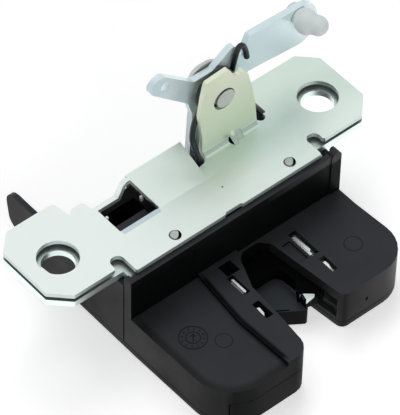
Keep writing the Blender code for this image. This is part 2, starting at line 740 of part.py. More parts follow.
def make_retainers():
    """Two steel keeper plates over the catch and the pawl, seen through the windows."""
    paint = "plate_steel"
    right = [
        (17.0, -45.6, 1.0),
        (29.0, -45.6, 3.0),
        (32.6, -40.0, 3.0),
        (32.6, -26.0, 3.0),
        (28.0, -23.0, 3.0),
        (17.0, -23.0, 1.0),
    ]
    keeper = prism("catch_retainer", rounded(right), RETAINER_LOW, RETAINER_HIGH, paint)
    join(keeper, block("flange", (17.8, -34.0, RETAINER_LOW + 0.3), (19.0, -26.0, ROOF_TOP - 1.0), paint))
    front = [(-43.1, 11.6), (-39.6, 11.6), (-39.6, 12.9), (-40.4, 13.9), (-43.1, 12.9)]
    join(keeper, prism("ear", front, 18.8, 20.0, paint, "YZ"))
    cut(keeper, disc("bore", CATCH_AXIS, PIN_RADIUS + GAP, 0, 20, paint, "XY", 28))
    left = [
        (-17.0, -46.8, 2.0),
        (-7.6, -46.8, 1.0),
        (-7.6, -38.0, 0.0),
        (-6.8, -36.0, 0.0),
        (-6.8, -25.0, 1.0),
        (-17.0, -25.0, 2.0),
    ]
    plate = prism("pawl_retainer", rounded(left), RETAINER_LOW, RETAINER_HIGH, paint)
    join(plate, block("flange", (-8.1, -33.0, RETAINER_LOW + 0.3), (-6.9, -27.0, ROOF_TOP - 0.6), paint))
    front = [(-44.5, 11.6), (-40.2, 11.6), (-40.2, 13.4), (-41.4, 14.4), (-44.5, 13.2)]
    join(plate, prism("ear", front, -8.9, -7.7, paint, "YZ"))
    cut(plate, disc("bore", PAWL_AXIS, PAWL_PIN_RADIUS + GAP, 0, 20, paint, "XY", 28))


def coil(centre, radius, low, pitch, first, turns, per_turn=20):
    """Points of a coil about Z, from its first angle in degrees, rising by the pitch."""
    count = int(abs(turns) * per_turn)
    points = []
    for i in range(count + 1):
        part = turns * i / count
        x, y = polar(centre, radius, first + 360.0 * part)
        points.append((x, y, low + pitch * abs(part)))
    return points


def make_inner_springs():
    thick = 0.4
    low = FOOT_TOP + GAP + thick
    path = [(32.6, -41.2, low)] + coil(CATCH_AXIS, 5.6, low, 0.95, -60.0, -1.1)
    path.append((CATCH_AXIS[0] - 9.5, CATCH_AXIS[1] - 9.0, low + 1.05))
    wire("catch_spring", path, thick, "spring_black", 6)
    path = [(-20.0, -33.0, low)] + coil(PAWL_AXIS, 3.3, low, 0.95, 120.0, -1.1)
    path.append((PAWL_AXIS[0] + 1.6, PAWL_AXIS[1] + 8.0, low + 1.05))
    wire("pawl_spring", path, thick, "spring_black", 6)


def make_lever():
    paint = "lever_steel"
    corners = [
        (6.6, 3.4, 1.2),
        (10.8, 3.4, 1.2),
        (12.6, 30.0, 3.0),
        (13.4, 41.0, 3.0),
        (18.0, 42.0, 4.0),
        (24.0, 45.0, 5.0),
        (30.7, 48.5, 3.0),
        (57.6, 45.9, 6.5),
        (57.6, 62.4, 6.5),
        (31.0, 63.4, 1.0),
        (29.2, 59.8, 0.6),
        (27.6, 56.4, 0.8),
        (26.4, 59.6, 0.4),
        (25.7, 62.0, 0.6),
        (24.3, 63.0, 0.8),
        (16.6, 58.0, 1.0),
        (9.6, 57.9, 2.0),
        (-2.8, 68.6, 3.1),
        (-8.4, 64.9, 3.1),
        (7.4, 50.2, 3.0),
        (9.2, 44.6, 4.0),
        (8.8, 38.0, 4.0),
        (8.4, 28.0, 6.0),
    ]
    lever = prism("release_lever", rounded(corners), LEVER_FRONT, LEVER_BACK, paint, "XZ")
    low = LEVER_FRONT - 2
    high = LEVER_BACK + 2
    cut(lever, disc("bore", LEVER_AXIS, LEVER_PIN / 2 + GAP, low, high, paint, "XZ", 28))
    cut(lever, disc("cable_eye", (-1.3, 63.2), 1.8, low, high, paint, "XZ", 20))
    cut(lever, disc("stud_hole", SOCKET_AT, 1.5 + GAP, low, high, paint, "XZ", 20))
    return on_axis(lever, (LEVER_AXIS[0], LEVER_FRONT, LEVER_AXIS[1]))


def lay_back(thing, across, along, up):
    """Turns a solid made about Z so that its top points to -Y, and sets it down."""
    thing.data.transform(Matrix.Rotation(math.radians(90.0), 4, "X"))
    thing.data.transform(Matrix.Translation(Vector((across, along, up)) * MM))
    return thing


def make_lever_fittings():
    paint = "pin_steel"
    pin = disc("lever_pin", LEVER_AXIS, LEVER_PIN / 2, LUG_FRONT - 0.25, LEVER_BACK + 2.6, paint, "XZ", 32)
    head = disc("head", LEVER_AXIS, 4.8, LEVER_BACK + 1.8, LEVER_BACK + 3.0, paint, "XZ", 32)
    join(pin, head)
    washer = disc("lever_washer", LEVER_AXIS, 7.0, LEVER_BACK + GAP, LEVER_BACK + 1.5, paint, "XZ", 32)
    low = LEVER_BACK - 2
    cut(washer, disc("bore", LEVER_AXIS, LEVER_PIN / 2 + GAP, low, LEVER_BACK + 4, paint, "XZ", 28))
    stud = LEVER_BACK - LEVER_FRONT
    profile = [
        (0.0, -stud - 1.4),
        (2.6, -stud - 1.4),
        (2.6, -stud - GAP),
        (1.5, -stud - GAP),
        (1.5, GAP),
        (2.9, GAP),
    ]
    ball = 4.0
    middle = 3.7
    for k in range(12):
        at = math.radians(-44.0 + 134.0 * k / 11)
        profile.append((ball * math.cos(at), middle + ball * math.sin(at)))
    profile[-1] = (0.0, middle + ball)
    socket = turned("rod_socket", profile, "socket_white")
    neck = [(0.0, 0.0), (3.2, 0.0), (3.2, 4.0), (2.9, 5.2), (2.2, 6.1), (1.2, 6.6), (0.0, 6.8)]
    nose = turned("nose", neck, "socket_white")
    nose.data.transform(Matrix.Rotation(math.radians(26.0), 4, "Y"))
    nose.data.transform(Matrix.Translation(Vector((0, 0, middle)) * MM))
    join(socket, nose)
    lay_back(socket, SOCKET_AT[0], LEVER_FRONT, SOCKET_AT[1])
    on_axis(socket, (LEVER_AXIS[0], LEVER_FRONT, LEVER_AXIS[1]))
    first = LUG_BACK + 0.4 + SPRING_WIRE
    path = [(5.7, 3.0, 29.0), (5.7, 3.1, 33.5), (6.0, first, 38.5), (6.4, first, 45.0)]
    turns = 1.62
    count = 34
    for i in range(count + 1):
        part = turns * i / count
        x, z = polar(LEVER_AXIS, SPRING_RADIUS, 188.0 - 360.0 * part)
        path.append((x, first + 1.7 * part, z))
    last = first + 1.7 * turns
    path += [(24.3, last, 54.0), (24.7, last, 60.6), (25.5, last, 63.0)]
    path += [(26.9, last, 63.0), (28.1, last, 60.6), (28.9, last, 56.8)]
    wire("lever_spring", path, SPRING_WIRE, "spring_black", 8)


def make_drive():
    can = disc("motor", MOTOR_AXIS, MOTOR_RADIUS, 18.0, 37.0, "motor_can", "YZ", 28)
    join(can, disc("nose", MOTOR_AXIS, 3.0, 17.2, 18.5, "motor_can", "YZ", 20))
    cut(can, disc("nose_bore", MOTOR_AXIS, 1.3, 16.0, 19.5, "motor_can", "YZ", 16))
    worm = disc("motor_worm", MOTOR_AXIS, 2.4, 4.5, 16.6, "gear_nylon", "YZ", 20)
    join(worm, disc("shaft", MOTOR_AXIS, 1.0, 16.0, 19.1, "gear_nylon", "YZ", 12))
    on_axis(worm, (4.5, *MOTOR_AXIS))
    low = MOTOR_AXIS[1] - 1.8
    high = MOTOR_AXIS[1] + 1.8
    teeth = 28
    outline = []
    for i in range(teeth * 4):
        radius = WHEEL_RADIUS if i % 4 in (1, 2) else WHEEL_RADIUS - 0.7
        outline.append(polar(WHEEL_AXIS, radius, 360.0 * i / (teeth * 4)))
    wheel = prism("worm_wheel", outline, low, high, "gear_nylon")
    join(wheel, disc("lobe", (WHEEL_AXIS[0] + 4.0, WHEEL_AXIS[1]), 1.6, 10.6, low + 1.0, "gear_nylon", "XY", 16))
    cut(wheel, disc("bore", WHEEL_AXIS, 1.5 + GAP, 0, 30, "gear_nylon", "XY", 20))
    on_axis(wheel, (*WHEEL_AXIS, low))
    disc("wheel_pin", WHEEL_AXIS, 1.5, COVER_TOP + GAP, REAR_TOP - WALL - GAP, "pin_steel", "XY", 20)


def make_switch():
    y = CATCH_AXIS[1]
    z = (CATCH_LOW + CATCH_HIGH) / 2
    face = CATCH_AXIS[0] + hub_radius(0.0) + 1.0 + 1.6
    body = block("microswitch", (face, y - 6.5, 5.0), (face + 4.4, y + 3.6, COVER_HIGH), "switch_red")
    cut(body, disc("way", (y, z), 0.8 + GAP, face - 1, face + 2.6, "switch_red", "YZ", 16))
    start = face - 1.1
    plunger = disc("switch_plunger", (y, z), 0.8, start, face + 1.2, "gear_nylon", "YZ", 16)
    on_axis(plunger, (start, y, z))
    for number, x in enumerate(TERMINALS, 1):
        block(f"terminal_{number}", (x - 1.0, 1.6, 8.2), (x + 1.0, 2.4, 23.0), "contact_tin")


CATCH_SWING = 24.0
SOCKET_AT = (50.2, 59.6)


def build():
    clear_scene()
    make_mounting_plate()
    make_frame()
    make_front_housing()
    make_base_cover()
    make_rear_housing()
    make_catch()
    make_catch_cover()
    make_pawl()
    make_pins()
    make_retainers()
    make_inner_springs()
    make_lever()
    make_lever_fittings()
    make_drive()
    make_switch()
    for thing in bpy.context.scene.objects:
        if len(thing.data.polygons) > 40 or "pin" in thing.name:
            thing.data.shade_smooth()
            thing.data.set_sharp_from_angle(angle=math.radians(32.0))


build()
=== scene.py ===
import json
import math

import bmesh
import bpy
from mathutils import Matrix, Vector


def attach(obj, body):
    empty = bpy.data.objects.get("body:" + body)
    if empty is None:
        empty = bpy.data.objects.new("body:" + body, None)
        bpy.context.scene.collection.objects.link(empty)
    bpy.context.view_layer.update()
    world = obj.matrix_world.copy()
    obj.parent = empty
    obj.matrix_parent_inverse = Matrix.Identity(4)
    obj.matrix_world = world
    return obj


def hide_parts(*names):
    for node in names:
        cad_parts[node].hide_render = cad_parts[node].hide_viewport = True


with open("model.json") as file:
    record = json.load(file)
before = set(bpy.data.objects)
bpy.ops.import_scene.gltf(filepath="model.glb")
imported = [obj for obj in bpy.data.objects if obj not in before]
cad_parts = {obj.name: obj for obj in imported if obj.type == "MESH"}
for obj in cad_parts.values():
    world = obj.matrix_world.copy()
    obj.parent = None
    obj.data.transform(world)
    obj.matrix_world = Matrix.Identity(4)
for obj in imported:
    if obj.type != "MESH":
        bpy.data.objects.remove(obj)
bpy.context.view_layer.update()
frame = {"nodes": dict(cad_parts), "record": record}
nodes = frame["nodes"]
mm = 0.001

cameraFit = {
    "turn": -0.7200,      # radians about Z, camera in the -X -Y quarter
    "tilt": 0.8522,
    "roll": 0.024,
    "focalPixels": 3500.7,
    "shift": (-0.00276, 0.0095, 1.03074),
    "plateTop": 0.033,
    "sensor": 36.0,
    "photoWidth": 400.0,
    "clip": 0.01,
}


def addCamera(fit):
    across = Vector((math.cos(fit["turn"]), math.sin(fit["turn"]), 0.0))
    level = Vector((-math.sin(fit["turn"]), math.cos(fit["turn"]), 0.0))
    ahead = level * math.cos(fit["tilt"]) - Vector((0, 0, math.sin(fit["tilt"])))
    upward = level * math.sin(fit["tilt"]) + Vector((0, 0, math.cos(fit["tilt"])))
    right = across * math.cos(fit["roll"]) + upward * math.sin(fit["roll"])
    top = upward * math.cos(fit["roll"]) - across * math.sin(fit["roll"])
    place = -(right * fit["shift"][0] + top * fit["shift"][1] + ahead * fit["shift"][2])
    data = bpy.data.cameras.new("photoCamera")
    data.sensor_fit = "HORIZONTAL"
    data.sensor_width = fit["sensor"]
    data.lens = fit["focalPixels"] * fit["sensor"] / fit["photoWidth"]
    data.clip_start = fit["clip"]
    camera = bpy.data.objects.new("photoCamera", data)
    turn = Matrix((right, top, -ahead)).transposed()
    camera.matrix_world = Matrix.Translation(place + Vector((0, 0, fit["plateTop"]))) @ turn.to_4x4()
    bpy.context.scene.collection.objects.link(camera)
    bpy.context.scene.camera = camera


addCamera(cameraFit)
print("camera set")


def newGroup(name, inputs, outputs):
    group = bpy.data.node_groups.new(name, "ShaderNodeTree")
    for label, kind, value in inputs:
        socket = group.interface.new_socket(label, in_out="INPUT", socket_type=kind)
        socket.default_value = value
    for label, kind in outputs:
        group.interface.new_socket(label, in_out="OUTPUT", socket_type=kind)
    return group, group.nodes.new("NodeGroupInput"), group.nodes.new("NodeGroupOutput")


def addNode(tree, kind, **values):
    node = tree.nodes.new(kind)
    for key, value in values.items():
        setattr(node, key, value)
    return node


def mouldGrainGroup():
    group, start, end = newGroup(
        "mouldGrain",
        [("Scale", "NodeSocketFloat", 2600.0), ("Drift", "NodeSocketFloat", 60.0)],
        [("Height", "NodeSocketFloat"), ("Cloud", "NodeSocketFloat")],
    )
    place = addNode(group, "ShaderNodeTexCoord")
    fine = addNode(group, "ShaderNodeTexNoise")
    fine.inputs["Detail"].default_value = 3.0
    cloud = addNode(group, "ShaderNodeTexNoise")
    cloud.inputs["Detail"].default_value = 2.0
    group.links.new(place.outputs["Object"], fine.inputs["Vector"])
    group.links.new(place.outputs["Object"], cloud.inputs["Vector"])
    group.links.new(start.outputs["Scale"], fine.inputs["Scale"])
    group.links.new(start.outputs["Drift"], cloud.inputs["Scale"])
    group.links.new(fine.outputs["Fac"], end.inputs["Height"])
    group.links.new(cloud.outputs["Fac"], end.inputs["Cloud"])
    return group


def zincBloomGroup():
    group, start, end = newGroup(
        "zincBloom",
        [("Bloom", "NodeSocketFloat", 55.0), ("Speck", "NodeSocketFloat", 900.0)],
        [("Bloom", "NodeSocketFloat"), ("Speck", "NodeSocketFloat"), ("Drag", "NodeSocketFloat")],
    )
    place = addNode(group, "ShaderNodeTexCoord")
    bloom = addNode(group, "ShaderNodeTexNoise")
    bloom.inputs["Detail"].default_value = 4.0
    bloom.inputs["Distortion"].default_value = 0.6
    speck = addNode(group, "ShaderNodeTexNoise")
    speck.inputs["Detail"].default_value = 2.0
    stretch = addNode(group, "ShaderNodeMapping")
    stretch.inputs["Scale"].default_value = (60.0, 900.0, 900.0)
    drag = addNode(group, "ShaderNodeTexNoise")
    drag.inputs["Scale"].default_value = 1.0
    drag.inputs["Detail"].default_value = 3.0
    group.links.new(place.outputs["Object"], bloom.inputs["Vector"])
    group.links.new(place.outputs["Object"], speck.inputs["Vector"])
    group.links.new(place.outputs["Object"], stretch.inputs["Vector"])
    group.links.new(stretch.outputs["Vector"], drag.inputs["Vector"])
    group.links.new(start.outputs["Bloom"], bloom.inputs["Scale"])
    group.links.new(start.outputs["Speck"], speck.inputs["Scale"])
    group.links.new(bloom.outputs["Fac"], end.inputs["Bloom"])
    group.links.new(speck.outputs["Fac"], end.inputs["Speck"])
    group.links.new(drag.outputs["Fac"], end.inputs["Drag"])
    return group


mouldGrain = mouldGrainGroup()
zincBloom = zincBloomGroup()


def newMaterial(name):
    material = bpy.data.materials.new(name)
    material.use_nodes = True
    return material, material.node_tree, material.node_tree.nodes["Principled BSDF"]


def useGroup(tree, group, **values):
    node = tree.nodes.new("ShaderNodeGroup")
    node.node_tree = group
    for key, value in values.items():
        node.inputs[key].default_value = value
    return node


def colourRamp(tree, source, stops):
    ramp = tree.nodes.new("ShaderNodeValToRGB")
    points = ramp.color_ramp.elements
    while len(points) < len(stops):
        points.new(0.5)
    for point, (position, colour) in zip(points, stops):
        point.position = position
        point.color = (*colour, 1.0)
    tree.links.new(source, ramp.inputs["Fac"])
    return ramp.outputs["Color"]


def rangeOf(tree, source, low, high, fromLow=0.3, fromHigh=0.7):
    node = tree.nodes.new("ShaderNodeMapRange")
    node.inputs["From Min"].default_value = fromLow
    node.inputs["From Max"].default_value = fromHigh
    node.inputs["To Min"].default_value = low
    node.inputs["To Max"].default_value = high
    tree.links.new(source, node.inputs["Value"])
    return node.outputs["Result"]


def bumpFrom(tree, source, strength, distance, shader):
    node = tree.nodes.new("ShaderNodeBump")
    node.inputs["Strength"].default_value = strength
    node.inputs["Distance"].default_value = distance
    tree.links.new(source, node.inputs["Height"])
    tree.links.new(node.outputs["Normal"], shader.inputs["Normal"])


plasticLook = {
    "grain": 2600.0,
    "drift": 70.0,
    "stops": (0.3, 0.72),
    "rough": (0.42, 0.58),
    "bump": 0.35,
    "depth": 0.00004,
    "mirror": 0.2,
    "dullMirror": 0.04,
    "sideDull": 0.75,
}
steelLook = {
    "bloom": 55.0,
    "plateBloom": 48.0,
    "speck": 1400.0,
    "stops": (0.32, 0.68),
    "bump": 0.12,
    "depth": 0.00003,
    "plateRough": (0.34, 0.46),
    "plateMetal": (0.72, 0.30),
}


def mouldedPlastic(name, dark, light, rough, **changes):
    look = {**plasticLook, **changes}
    material, tree, shader = newMaterial(name)
    shader.inputs["Specular IOR Level"].default_value = look["mirror"]
    grainNode = useGroup(tree, mouldGrain, Scale=look["grain"], Drift=look["drift"])
    low, high = look["stops"]
    base = colourRamp(tree, grainNode.outputs["Cloud"], [(low, dark), (high, light)])
    tree.links.new(base, shader.inputs["Base Color"])
    tree.links.new(rangeOf(tree, grainNode.outputs["Cloud"], *rough), shader.inputs["Roughness"])
    bumpFrom(tree, grainNode.outputs["Height"], look["bump"], look["depth"], shader)
    return material


def platedSteel(name, dark, light, rough, metal):
    material, tree, shader = newMaterial(name)
    zinc = useGroup(tree, zincBloom, Bloom=steelLook["bloom"], Speck=steelLook["speck"])
    shader.inputs["Metallic"].default_value = metal
    low, high = steelLook["stops"]
    base = colourRamp(tree, zinc.outputs["Bloom"], [(low, dark), (high, light)])
    tree.links.new(base, shader.inputs["Base Color"])
    tree.links.new(rangeOf(tree, zinc.outputs["Drag"], *rough), shader.inputs["Roughness"])
    bumpFrom(tree, zinc.outputs["Speck"], steelLook["bump"], steelLook["depth"], shader)
    return material


def blend(tree, mask, first, second):
    node = tree.nodes.new("ShaderNodeMix")
    node.data_type = "RGBA"
    tree.links.new(mask, node.inputs["Factor"])
    for value, socket in ((first, node.inputs["A"]), (second, node.inputs["B"])):
        if isinstance(value, tuple):
            socket.default_value = (*value, 1.0)
        else:
            tree.links.new(value, socket)
    return node.outputs["Result"]


def along(tree, direction, start, end):
    place = tree.nodes.new("ShaderNodeTexCoord")
    parts = tree.nodes.new("ShaderNodeSeparateXYZ")
    tree.links.new(place.outputs["Object"], parts.inputs["Vector"])
    return rangeOf(tree, parts.outputs[direction], 0.0, 1.0, start, end)


def combine(tree, operation, first, second):
    node = tree.nodes.new("ShaderNodeMath")
    node.operation = operation
    tree.links.new(first, node.inputs[0])
    tree.links.new(second, node.inputs[1])
    return node.outputs["Value"]


def times(tree, first, *others):
    for other in others:
        first = combine(tree, "MULTIPLY", first, other)
    return first


def zone(tree, zones, *names):
    return times(tree, *[along(tree, *zones[name]) for name in names])


def facing(tree):
    geometry = tree.nodes.new("ShaderNodeNewGeometry")
    parts = tree.nodes.new("ShaderNodeSeparateXYZ")
    tree.links.new(geometry.outputs["Normal"], parts.inputs["Vector"])
    return parts.outputs


def slanted(tree, direction, start, end):
    place = tree.nodes.new("ShaderNodeTexCoord")
    dot = tree.nodes.new("ShaderNodeVectorMath")
    dot.operation = "DOT_PRODUCT"
    dot.inputs[1].default_value = direction
    tree.links.new(place.outputs["Object"], dot.inputs[0])
    return rangeOf(tree, dot.outputs["Value"], 0.0, 1.0, start, end)


# Each zone names an axis and the two places in metres between which its mask rises from 0 to 1
housingZones = {
    "sideShadeShift": ("X", 0.002, 0.010),
    "frontLightShift": ("X", 0.012, 0.036),
    "wallDepth": ("Y", -0.030, -0.026),
    "wallTop": ("Z", 0.0292, 0.0282),
    "wellFloor": ("Z", 0.0248, 0.0252),
    "wellFront": ("Y", -0.0010, 0.0002),
    "wellRight": ("X", -0.0128, -0.0132),
    "wellLeft": ("X", -0.0318, -0.0312),
    "edgeLow": ("Z", 0.0136, 0.0141),
    "edgeHigh": ("Z", 0.0172, 0.0168),
    "ledgeLow": ("Z", 0.0146, 0.0149),
    "ledgeRear": ("Y", -0.0190, -0.0235),
    "ledgeFront": ("Y", -0.0615, -0.0590),
    "rimLow": ("Z", 0.0143, 0.0147),
    "rimHigh": ("Z", 0.0156, 0.0153),
    "rimRight": ("X", -0.0040, -0.0070),
    "rimRear": ("Y", -0.0200, -0.0240),
}
# Ranges of a normal's part along one axis
housingTurns = {
    "outward": (-0.80, -0.30),
    "nearlyFlat": (0.80, 0.97),
    "nearlyUpright": (0.10, 0.30),
}
# The ledge's left edge, along which a band of painted shade runs, is two straight lines, each given by
# its normal and its offsets
ledgeEdge = {
    "rear": (1.0, -0.105, 0.0),
    "rearStart": (-0.0118, -0.0114),
    "rearEnd": (-0.0108, -0.0098),
    "ahead": (1.0, 0.039, 0.0),
    "aheadStart": (-0.0177, -0.0173),
    "aheadEnd": (-0.0167, -0.0157),
}
# A ring of painted shade along the left lobe's rounded outline; depth is how far it takes the crease
# shade tint
lobeRimShade = {
    "corner": (-0.0256, -0.0488, 0.0),
    "reach": 0.0131,
    "inner": 0.0030,
    "outer": 0.0012,
    "depth": 0.85,
}


def ledgeShadeBand(tree, edge, zones):
    rear = slanted(tree, edge["rear"], *edge["rearStart"])
    ahead = slanted(tree, edge["ahead"], *edge["aheadStart"])
    rearEnd = slanted(tree, edge["rear"], *edge["rearEnd"])
    aheadEnd = slanted(tree, edge["ahead"], *edge["aheadEnd"])
    left = rangeOf(tree, combine(tree, "MINIMUM", rearEnd, aheadEnd), 1.0, 0.0, 0.0, 1.0)
    place = zone(tree, zones, "ledgeLow", "edgeHigh", "ledgeRear", "ledgeFront")
    return times(tree, rear, ahead, left, place)


def rimShadeBand(tree, rim, zones):
    place = tree.nodes.new("ShaderNodeTexCoord")
    source = place.outputs["Object"]
    nearCorner = ("MINIMUM", (0.0, 0.0, 0.0))
    inPlan = ("MULTIPLY", (1.0, 1.0, 0.0))
    steps = (("SUBTRACT", rim["corner"]), nearCorner, inPlan)
    for operation, value in steps:
        step = tree.nodes.new("ShaderNodeVectorMath")
        step.operation = operation
        step.inputs[1].default_value = value
        tree.links.new(source, step.inputs[0])
        source = step.outputs["Vector"]
    size = tree.nodes.new("ShaderNodeVectorMath")
    size.operation = "LENGTH"
    tree.links.new(source, size.inputs[0])
    limits = (rim["reach"] - rim["inner"], rim["reach"] - rim["outer"])
    outer = rangeOf(tree, size.outputs["Value"], 0.0, 1.0, *limits)
    return times(tree, outer, zone(tree, zones, "rimLow", "rimHigh", "rimRight", "rimRear"))


def housingPlastic(name, tints):
    material, tree, shader = newMaterial(name)
    look = plasticLook
    zones = housingZones
    grainNode = useGroup(tree, mouldGrain, Scale=look["grain"], Drift=look["drift"])
    stops = list(zip(look["stops"], (tints["dark"], tints["light"])))
    base = colourRamp(tree, grainNode.outputs["Cloud"], stops)
    normal = facing(tree)
    front = rangeOf(tree, normal["Y"], 1.0, 0.0, *housingTurns["outward"])
    side = rangeOf(tree, normal["X"], 1.0, 0.0, *housingTurns["outward"])
    ledgeShade = ledgeShadeBand(tree, ledgeEdge, zones)
    rim = rimShadeBand(tree, lobeRimShade, zones)

    # Painted shade: faces turned towards -X take the dark side tint, a little lighter further right along
    # X
    sideTint = blend(tree, zone(tree, zones, "sideShadeShift"), tints["side"], tints["sideShadeRight"])
    sided = blend(tree, side, base, sideTint)
    # Painted shade on faces turned towards -Y, turning along X into a painted reflection on the right
    # lobe's front
    frontTint = blend(tree, zone(tree, zones, "frontLightShift"), tints["front"], tints["frontRightReflection"])
    lobe = blend(tree, front, sided, frontTint)
    # Painted shade on the tall front wall under the lobes' roof
    wall = times(tree, front, zone(tree, zones, "wallDepth", "wallTop"))
    walled = blend(tree, wall, lobe, tints["wall"])
    # Painted shade inside the plug window's well
    well = zone(tree, zones, "wellFloor", "wellFront", "wellRight", "wellLeft")
    welled = blend(tree, well, walled, tints["well"])
    # Painted shade on sloping edge faces at the roof's level
    notFlat = rangeOf(tree, normal["Z"], 1.0, 0.0, *housingTurns["nearlyFlat"])
    notUpright = rangeOf(tree, normal["Z"], 0.0, 1.0, *housingTurns["nearlyUpright"])
    creased = times(tree, notFlat, notUpright, zone(tree, zones, "edgeLow", "edgeHigh"))
    edged = blend(tree, creased, welled, tints["creaseShade"])
    # Painted shade in the same colour along the left lobe's rounded outline
    rimmed = blend(tree, rangeOf(tree, rim, 0.0, lobeRimShade["depth"], 0.0, 1.0), edged, tints["creaseShade"])
    # Painted shade in a soft band along the ledge's left wall, in the front wall's shade colour
    banded = blend(tree, ledgeShade, rimmed, tints["wall"])
    tree.links.new(banded, shader.inputs["Base Color"])

    # Reflection is turned down where shade is painted, so the painted shade stays dark
    dull = combine(tree, "MAXIMUM", front, ledgeShade)
    dull = combine(tree, "MAXIMUM", dull, rangeOf(tree, side, 0.0, look["sideDull"], 0.0, 1.0))
    dull = combine(tree, "MAXIMUM", dull, well)
    mirror = rangeOf(tree, dull, look["mirror"], look["dullMirror"], 0.0, 1.0)
    tree.links.new(mirror, shader.inputs["Specular IOR Level"])
    tree.links.new(rangeOf(tree, grainNode.outputs["Cloud"], *look["rough"]), shader.inputs["Roughness"])
    bumpFrom(tree, grainNode.outputs["Height"], look["bump"], look["depth"], shader)
    return material


plateZones = {
    "tone": ("X", -0.035, 0.055),
    "foldDepth": ("Y", -0.0110, -0.0020),
    "foldAcross": ("X", -0.022, 0.004),
    "lugShadeHeight": ("Z", 0.036, 0.060),
    "lugRise": ("Z", 0.0332, 0.0372),
    "lugStart": ("X", 0.0035, 0.0050),
    "belowTop": ("Z", 0.0332, 0.0329),
    "lipRight": ("X", -0.0152, -0.0158),
    "lipLeft": ("X", -0.0299, -0.0294),
    "lipFront": ("Y", -0.0056, -0.0053),
    "lipRear": ("Y", -0.0008, -0.0012),
    "bendStart": ("X", 0.0070, 0.0076),
    "bendTop": ("Z", 0.0358, 0.0350),
}
plateTurns = {
    "edge": (0.35, 0.8),
    "notFlat": (0.82, 0.93),
    "notUpright": (0.30, 0.45),
    "under": (-0.9, -0.6),
}
plateCloud = {"fold": (0.35, 0.95), "overall": (0.0, 0.30)}


def plateSteel(name, tints):
    material, tree, shader = newMaterial(name)
    zones = plateZones
    zinc = useGroup(tree, zincBloom, Bloom=steelLook["plateBloom"], Speck=steelLook["speck"])
    bloom = zinc.outputs["Bloom"]
    level = blend(tree, zone(tree, zones, "tone"), tints["left"], tints["right"])
    cloudy = rangeOf(tree, bloom, *plateCloud["fold"])
    fold = times(tree, zone(tree, zones, "foldDepth"), cloudy, zone(tree, zones, "foldAcross"))
    level = blend(tree, fold, level, tints["shade"])
    # Painted shade on the standing lug: darker towards its foot, lighter higher up
    lug = blend(tree, zone(tree, zones, "lugShadeHeight"), tints["lugFoot"], tints["lugHead"])
    standing = zone(tree, zones, "lugRise", "lugStart")
    metal = rangeOf(tree, standing, *steelLook["plateMetal"], 0.0, 1.0)
    tree.links.new(metal, shader.inputs["Metallic"])
    whole = blend(tree, standing, level, lug)
    clouded = blend(tree, rangeOf(tree, bloom, *plateCloud["overall"]), whole, tints["cloud"])
    upright = facing(tree)["Z"]
    # Painted shade on the plate's side faces below its top
    turned = rangeOf(tree, upright, 1.0, 0.0, *plateTurns["edge"])
    sided = blend(tree, times(tree, turned, zone(tree, zones, "belowTop")), clouded, tints["edge"])
    # Painted shade on the lip that turns down into the plug window
    lip = zone(tree, zones, "lipRight", "lipLeft", "lipFront", "lipRear")
    lipped = blend(tree, lip, sided, tints["lip"])
    # Painted shade in the bend where the lug rises from the plate
    notFlat = rangeOf(tree, upright, 1.0, 0.0, *plateTurns["notFlat"])
    notUpright = rangeOf(tree, upright, 0.0, 1.0, *plateTurns["notUpright"])
    bend = times(tree, notFlat, notUpright, zone(tree, zones, "bendStart", "bendTop"))
    bent = blend(tree, bend, lipped, tints["bend"])
    # Painted shade, near black, on faces turned downwards
    under = blend(tree, rangeOf(tree, upright, 1.0, 0.0, *plateTurns["under"]), bent, tints["under"])
    tree.links.new(under, shader.inputs["Base Color"])
    rough = rangeOf(tree, zinc.outputs["Drag"], *steelLook["plateRough"])
    tree.links.new(rough, shader.inputs["Roughness"])
    bumpFrom(tree, zinc.outputs["Speck"], steelLook["bump"], steelLook["depth"], shader)
    return material


# left, right and cloud colour the zinc; the other tints are painted light and shade, picked by the masks
# in plateSteel
plateTints = {
    "left": (0.84, 0.905, 0.89),
    "right": (0.76, 0.87, 0.81),
    "shade": (0.56, 0.70, 0.62),
    "lugFoot": (0.70, 0.83, 0.62),
    "lugHead": (0.88, 0.93, 0.72),
    "cloud": (0.80, 0.88, 0.80),
    "edge": (0.50, 0.58, 0.55),
    "lip": (0.58, 0.68, 0.73),
    "bend": (0.40, 0.50, 0.42),
    "under": (0.010, 0.012, 0.012),
}
# Apart from the grain colours dark and light, each tint here is painted light or shade on the black
# moulding
housingTints = {
    "dark": (0.0195, 0.0225, 0.0265),
    "light": (0.031, 0.034, 0.039),
    "side": (0.0085, 0.0085, 0.0087),
    "front": (0.0034, 0.0035, 0.0038),
    "frontRightReflection": (0.075, 0.075, 0.077),
    "sideShadeRight": (0.019, 0.019, 0.0195),
    "creaseShade": (0.004, 0.0042, 0.0046),
    "wall": (0.0016, 0.0018, 0.0020),
    "well": (0.003, 0.003, 0.0035),
}
coverTints = {**housingTints, "dark": (0.024, 0.028, 0.032), "light": (0.036, 0.041, 0.046)}
